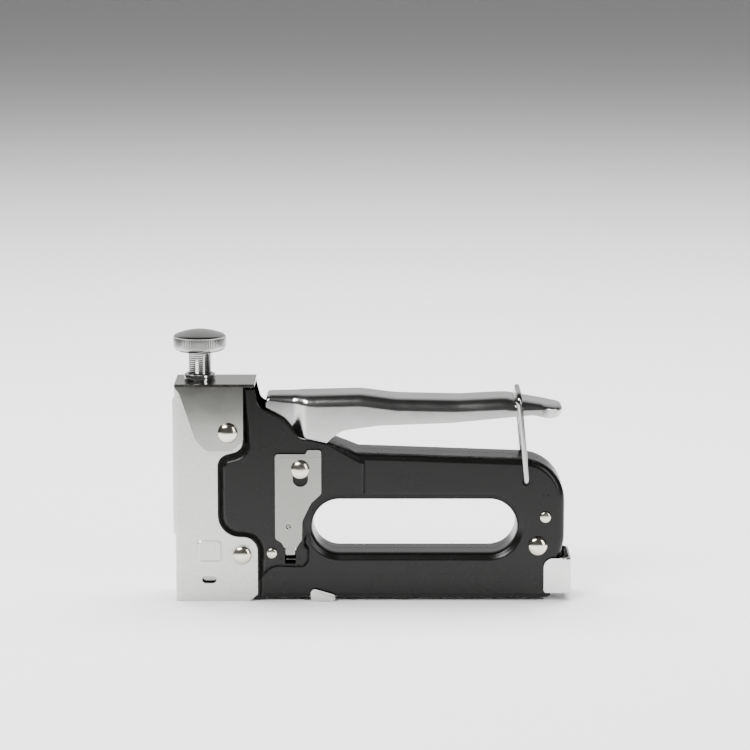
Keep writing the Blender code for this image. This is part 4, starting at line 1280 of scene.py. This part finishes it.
def build_stage():
    bpy.ops.object.select_all(action="DESELECT")
    bpy.ops.mesh.primitive_plane_add(size=30.0, location=(0, 0, 0))
    floor = bpy.context.active_object
    floor.name = "floor"
    floor.data.materials.append(plain_material("pale_floor", (0.86, 0.86, 0.86), 0.6))
    cloth = plain_material("dark_cloth", (0.02, 0.02, 0.02), 0.9)
    flags = (("front", 0.0, -2.37, 0.001), ("left", -2.55, 0.0, 0.0013), ("right", 2.55, 0.0, 0.0016))
    for name, x, y, z in flags:
        bpy.ops.object.select_all(action="DESELECT")
        bpy.ops.mesh.primitive_plane_add(size=4.0, location=(x, y, z))
        flag = bpy.context.active_object
        flag.name = "dark_flag_" + name
        flag.data.materials.append(cloth)
        flag.visible_camera = False
        flag.visible_diffuse = False
        flag.visible_shadow = False

    build_world()
    area_light("key_light", (-0.55, -0.75, 0.95), (0, 0, 0.05), 0.6, 0.4, 20.0)
    area_light("fill_light", (0.8, -0.8, 0.45), (0, 0, 0.05), 0.3, 0.8, 6.0)
    top = area_light("top_light", (0.0, 0.35, 1.2), (0, 0.1, 0.0), 1.6, 0.9, 66.0)
    top.visible_glossy = False

    camera = bpy.data.cameras.new("camera")
    camera.sensor_width = SENSOR
    camera.lens = SENSOR * CAMERA_DISTANCE / VIEW_WIDTH
    obj = bpy.data.objects.new("camera", camera)
    offset = Vector((0.0, -math.cos(CAMERA_RISE), math.sin(CAMERA_RISE))) * CAMERA_DISTANCE
    obj.location = (CAMERA_TARGET + offset) * MM
    obj.rotation_euler = (math.pi / 2 - CAMERA_RISE, 0.0, 0.0)
    bpy.context.scene.collection.objects.link(obj)
    bpy.context.scene.camera = obj


# Operators, one for each piece or group of like pieces


class STAPLEGUN_OT_stage(bpy.types.Operator):
    """Adds the floor, the lights and the camera"""

    bl_idname = "staple_gun.stage"
    bl_label = "Stage"
    bl_options = {"REGISTER", "UNDO"}

    def execute(self, context):
        build_stage()
        return {"FINISHED"}


class STAPLEGUN_OT_shells(bpy.types.Operator):
    """Builds the two pressed body halves"""

    bl_idname = "staple_gun.shells"
    bl_label = "Body Shells"
    bl_options = {"REGISTER", "UNDO"}

    def execute(self, context):
        build_shells()
        return {"FINISHED"}


class STAPLEGUN_OT_channel(bpy.types.Operator):
    """Builds the folded channel at the nose"""

    bl_idname = "staple_gun.channel"
    bl_label = "Front Channel"
    bl_options = {"REGISTER", "UNDO"}

    def execute(self, context):
        build_channel()
        return {"FINISHED"}


class STAPLEGUN_OT_cap(bpy.types.Operator):
    """Builds the folded cap over the head"""

    bl_idname = "staple_gun.cap"
    bl_label = "Top Cap"
    bl_options = {"REGISTER", "UNDO"}

    def execute(self, context):
        build_cap()
        return {"FINISHED"}


class STAPLEGUN_OT_plates(bpy.types.Operator):
    """Builds the plate under each end of the lever's pivot"""

    bl_idname = "staple_gun.plates"
    bl_label = "Pivot Plates"
    bl_options = {"REGISTER", "UNDO"}

    def execute(self, context):
        build_plates()
        return {"FINISHED"}


class STAPLEGUN_OT_rivets(bpy.types.Operator):
    """Builds the domed rivets and pins"""

    bl_idname = "staple_gun.rivets"
    bl_label = "Rivets"
    bl_options = {"REGISTER", "UNDO"}

    def execute(self, context):
        build_rivets()
        return {"FINISHED"}


class STAPLEGUN_OT_knob(bpy.types.Operator):
    """Builds the knurled knob, its screw and its bush"""

    bl_idname = "staple_gun.knob"
    bl_label = "Adjusting Knob"
    bl_options = {"REGISTER", "UNDO"}

    def execute(self, context):
        build_knob()
        return {"FINISHED"}


class STAPLEGUN_OT_lever(bpy.types.Operator):
    """Builds the squeeze lever"""

    bl_idname = "staple_gun.lever"
    bl_label = "Lever"
    bl_options = {"REGISTER", "UNDO"}

    def execute(self, context):
        build_lever()
        return {"FINISHED"}


class STAPLEGUN_OT_bail(bpy.types.Operator):
    """Builds the wire that locks the lever"""

    bl_idname = "staple_gun.bail"
    bl_label = "Bail"
    bl_options = {"REGISTER", "UNDO"}

    def execute(self, context):
        build_bail()
        return {"FINISHED"}


class STAPLEGUN_OT_springs(bpy.types.Operator):
    """Builds the main spring and the pusher spring"""

    bl_idname = "staple_gun.springs"
    bl_label = "Springs"
    bl_options = {"REGISTER", "UNDO"}

    def execute(self, context):
        build_springs()
        return {"FINISHED"}


class STAPLEGUN_OT_end_cap(bpy.types.Operator):
    """Builds the cap of the pusher"""

    bl_idname = "staple_gun.end_cap"
    bl_label = "End Cap"
    bl_options = {"REGISTER", "UNDO"}

    def execute(self, context):
        build_end_cap()
        return {"FINISHED"}


class STAPLEGUN_OT_catch(bpy.types.Operator):
    """Builds the magazine's finger catch"""

    bl_idname = "staple_gun.catch"
    bl_label = "Finger Catch"
    bl_options = {"REGISTER", "UNDO"}

    def execute(self, context):
        build_catch()
        return {"FINISHED"}


class STAPLEGUN_OT_inside(bpy.types.Operator):
    """Gives the plain pieces inside their materials"""

    bl_idname = "staple_gun.inside"
    bl_label = "Inside"
    bl_options = {"REGISTER", "UNDO"}

    def execute(self, context):
        dress_frame()
        return {"FINISHED"}


OPERATORS = [
    STAPLEGUN_OT_stage,
    STAPLEGUN_OT_shells,
    STAPLEGUN_OT_channel,
    STAPLEGUN_OT_cap,
    STAPLEGUN_OT_plates,
    STAPLEGUN_OT_rivets,
    STAPLEGUN_OT_knob,
    STAPLEGUN_OT_lever,
    STAPLEGUN_OT_bail,
    STAPLEGUN_OT_springs,
    STAPLEGUN_OT_end_cap,
    STAPLEGUN_OT_catch,
    STAPLEGUN_OT_inside,
]


class STAPLEGUN_PT_panel(bpy.types.Panel):
    """Sidebar panel that lists the builders and the sizes."""

    bl_label = "Staple Gun"
    bl_idname = "STAPLEGUN_PT_panel"
    bl_space_type = "VIEW_3D"
    bl_region_type = "UI"
    bl_category = "Staple Gun"

    def draw(self, context):
        for settings in (context.scene.staple_gun_sizes, context.scene.staple_gun_colours):
            for name in settings.bl_rna.properties.keys():
                if name not in {"rna_type", "name"}:
                    self.layout.prop(settings, name)
        for builder in OPERATORS:
            self.layout.operator(builder.bl_idname)


CLASSES = [StapleGunSizes, StapleGunColours, *OPERATORS, STAPLEGUN_PT_panel]


def register():
    for cls in CLASSES:
        bpy.utils.register_class(cls)
    bpy.types.Scene.staple_gun_sizes = bpy.props.PointerProperty(type=StapleGunSizes)
    bpy.types.Scene.staple_gun_colours = bpy.props.PointerProperty(type=StapleGunColours)


def unregister():
    del bpy.types.Scene.staple_gun_colours
    del bpy.types.Scene.staple_gun_sizes
    for cls in reversed(CLASSES):
        bpy.utils.unregister_class(cls)


def main():
    register()
    for builder in OPERATORS:
        name = builder.bl_idname.split(".")[1]
        getattr(bpy.ops.staple_gun, name)()
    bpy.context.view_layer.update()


if __name__ == "__main__":
    main()
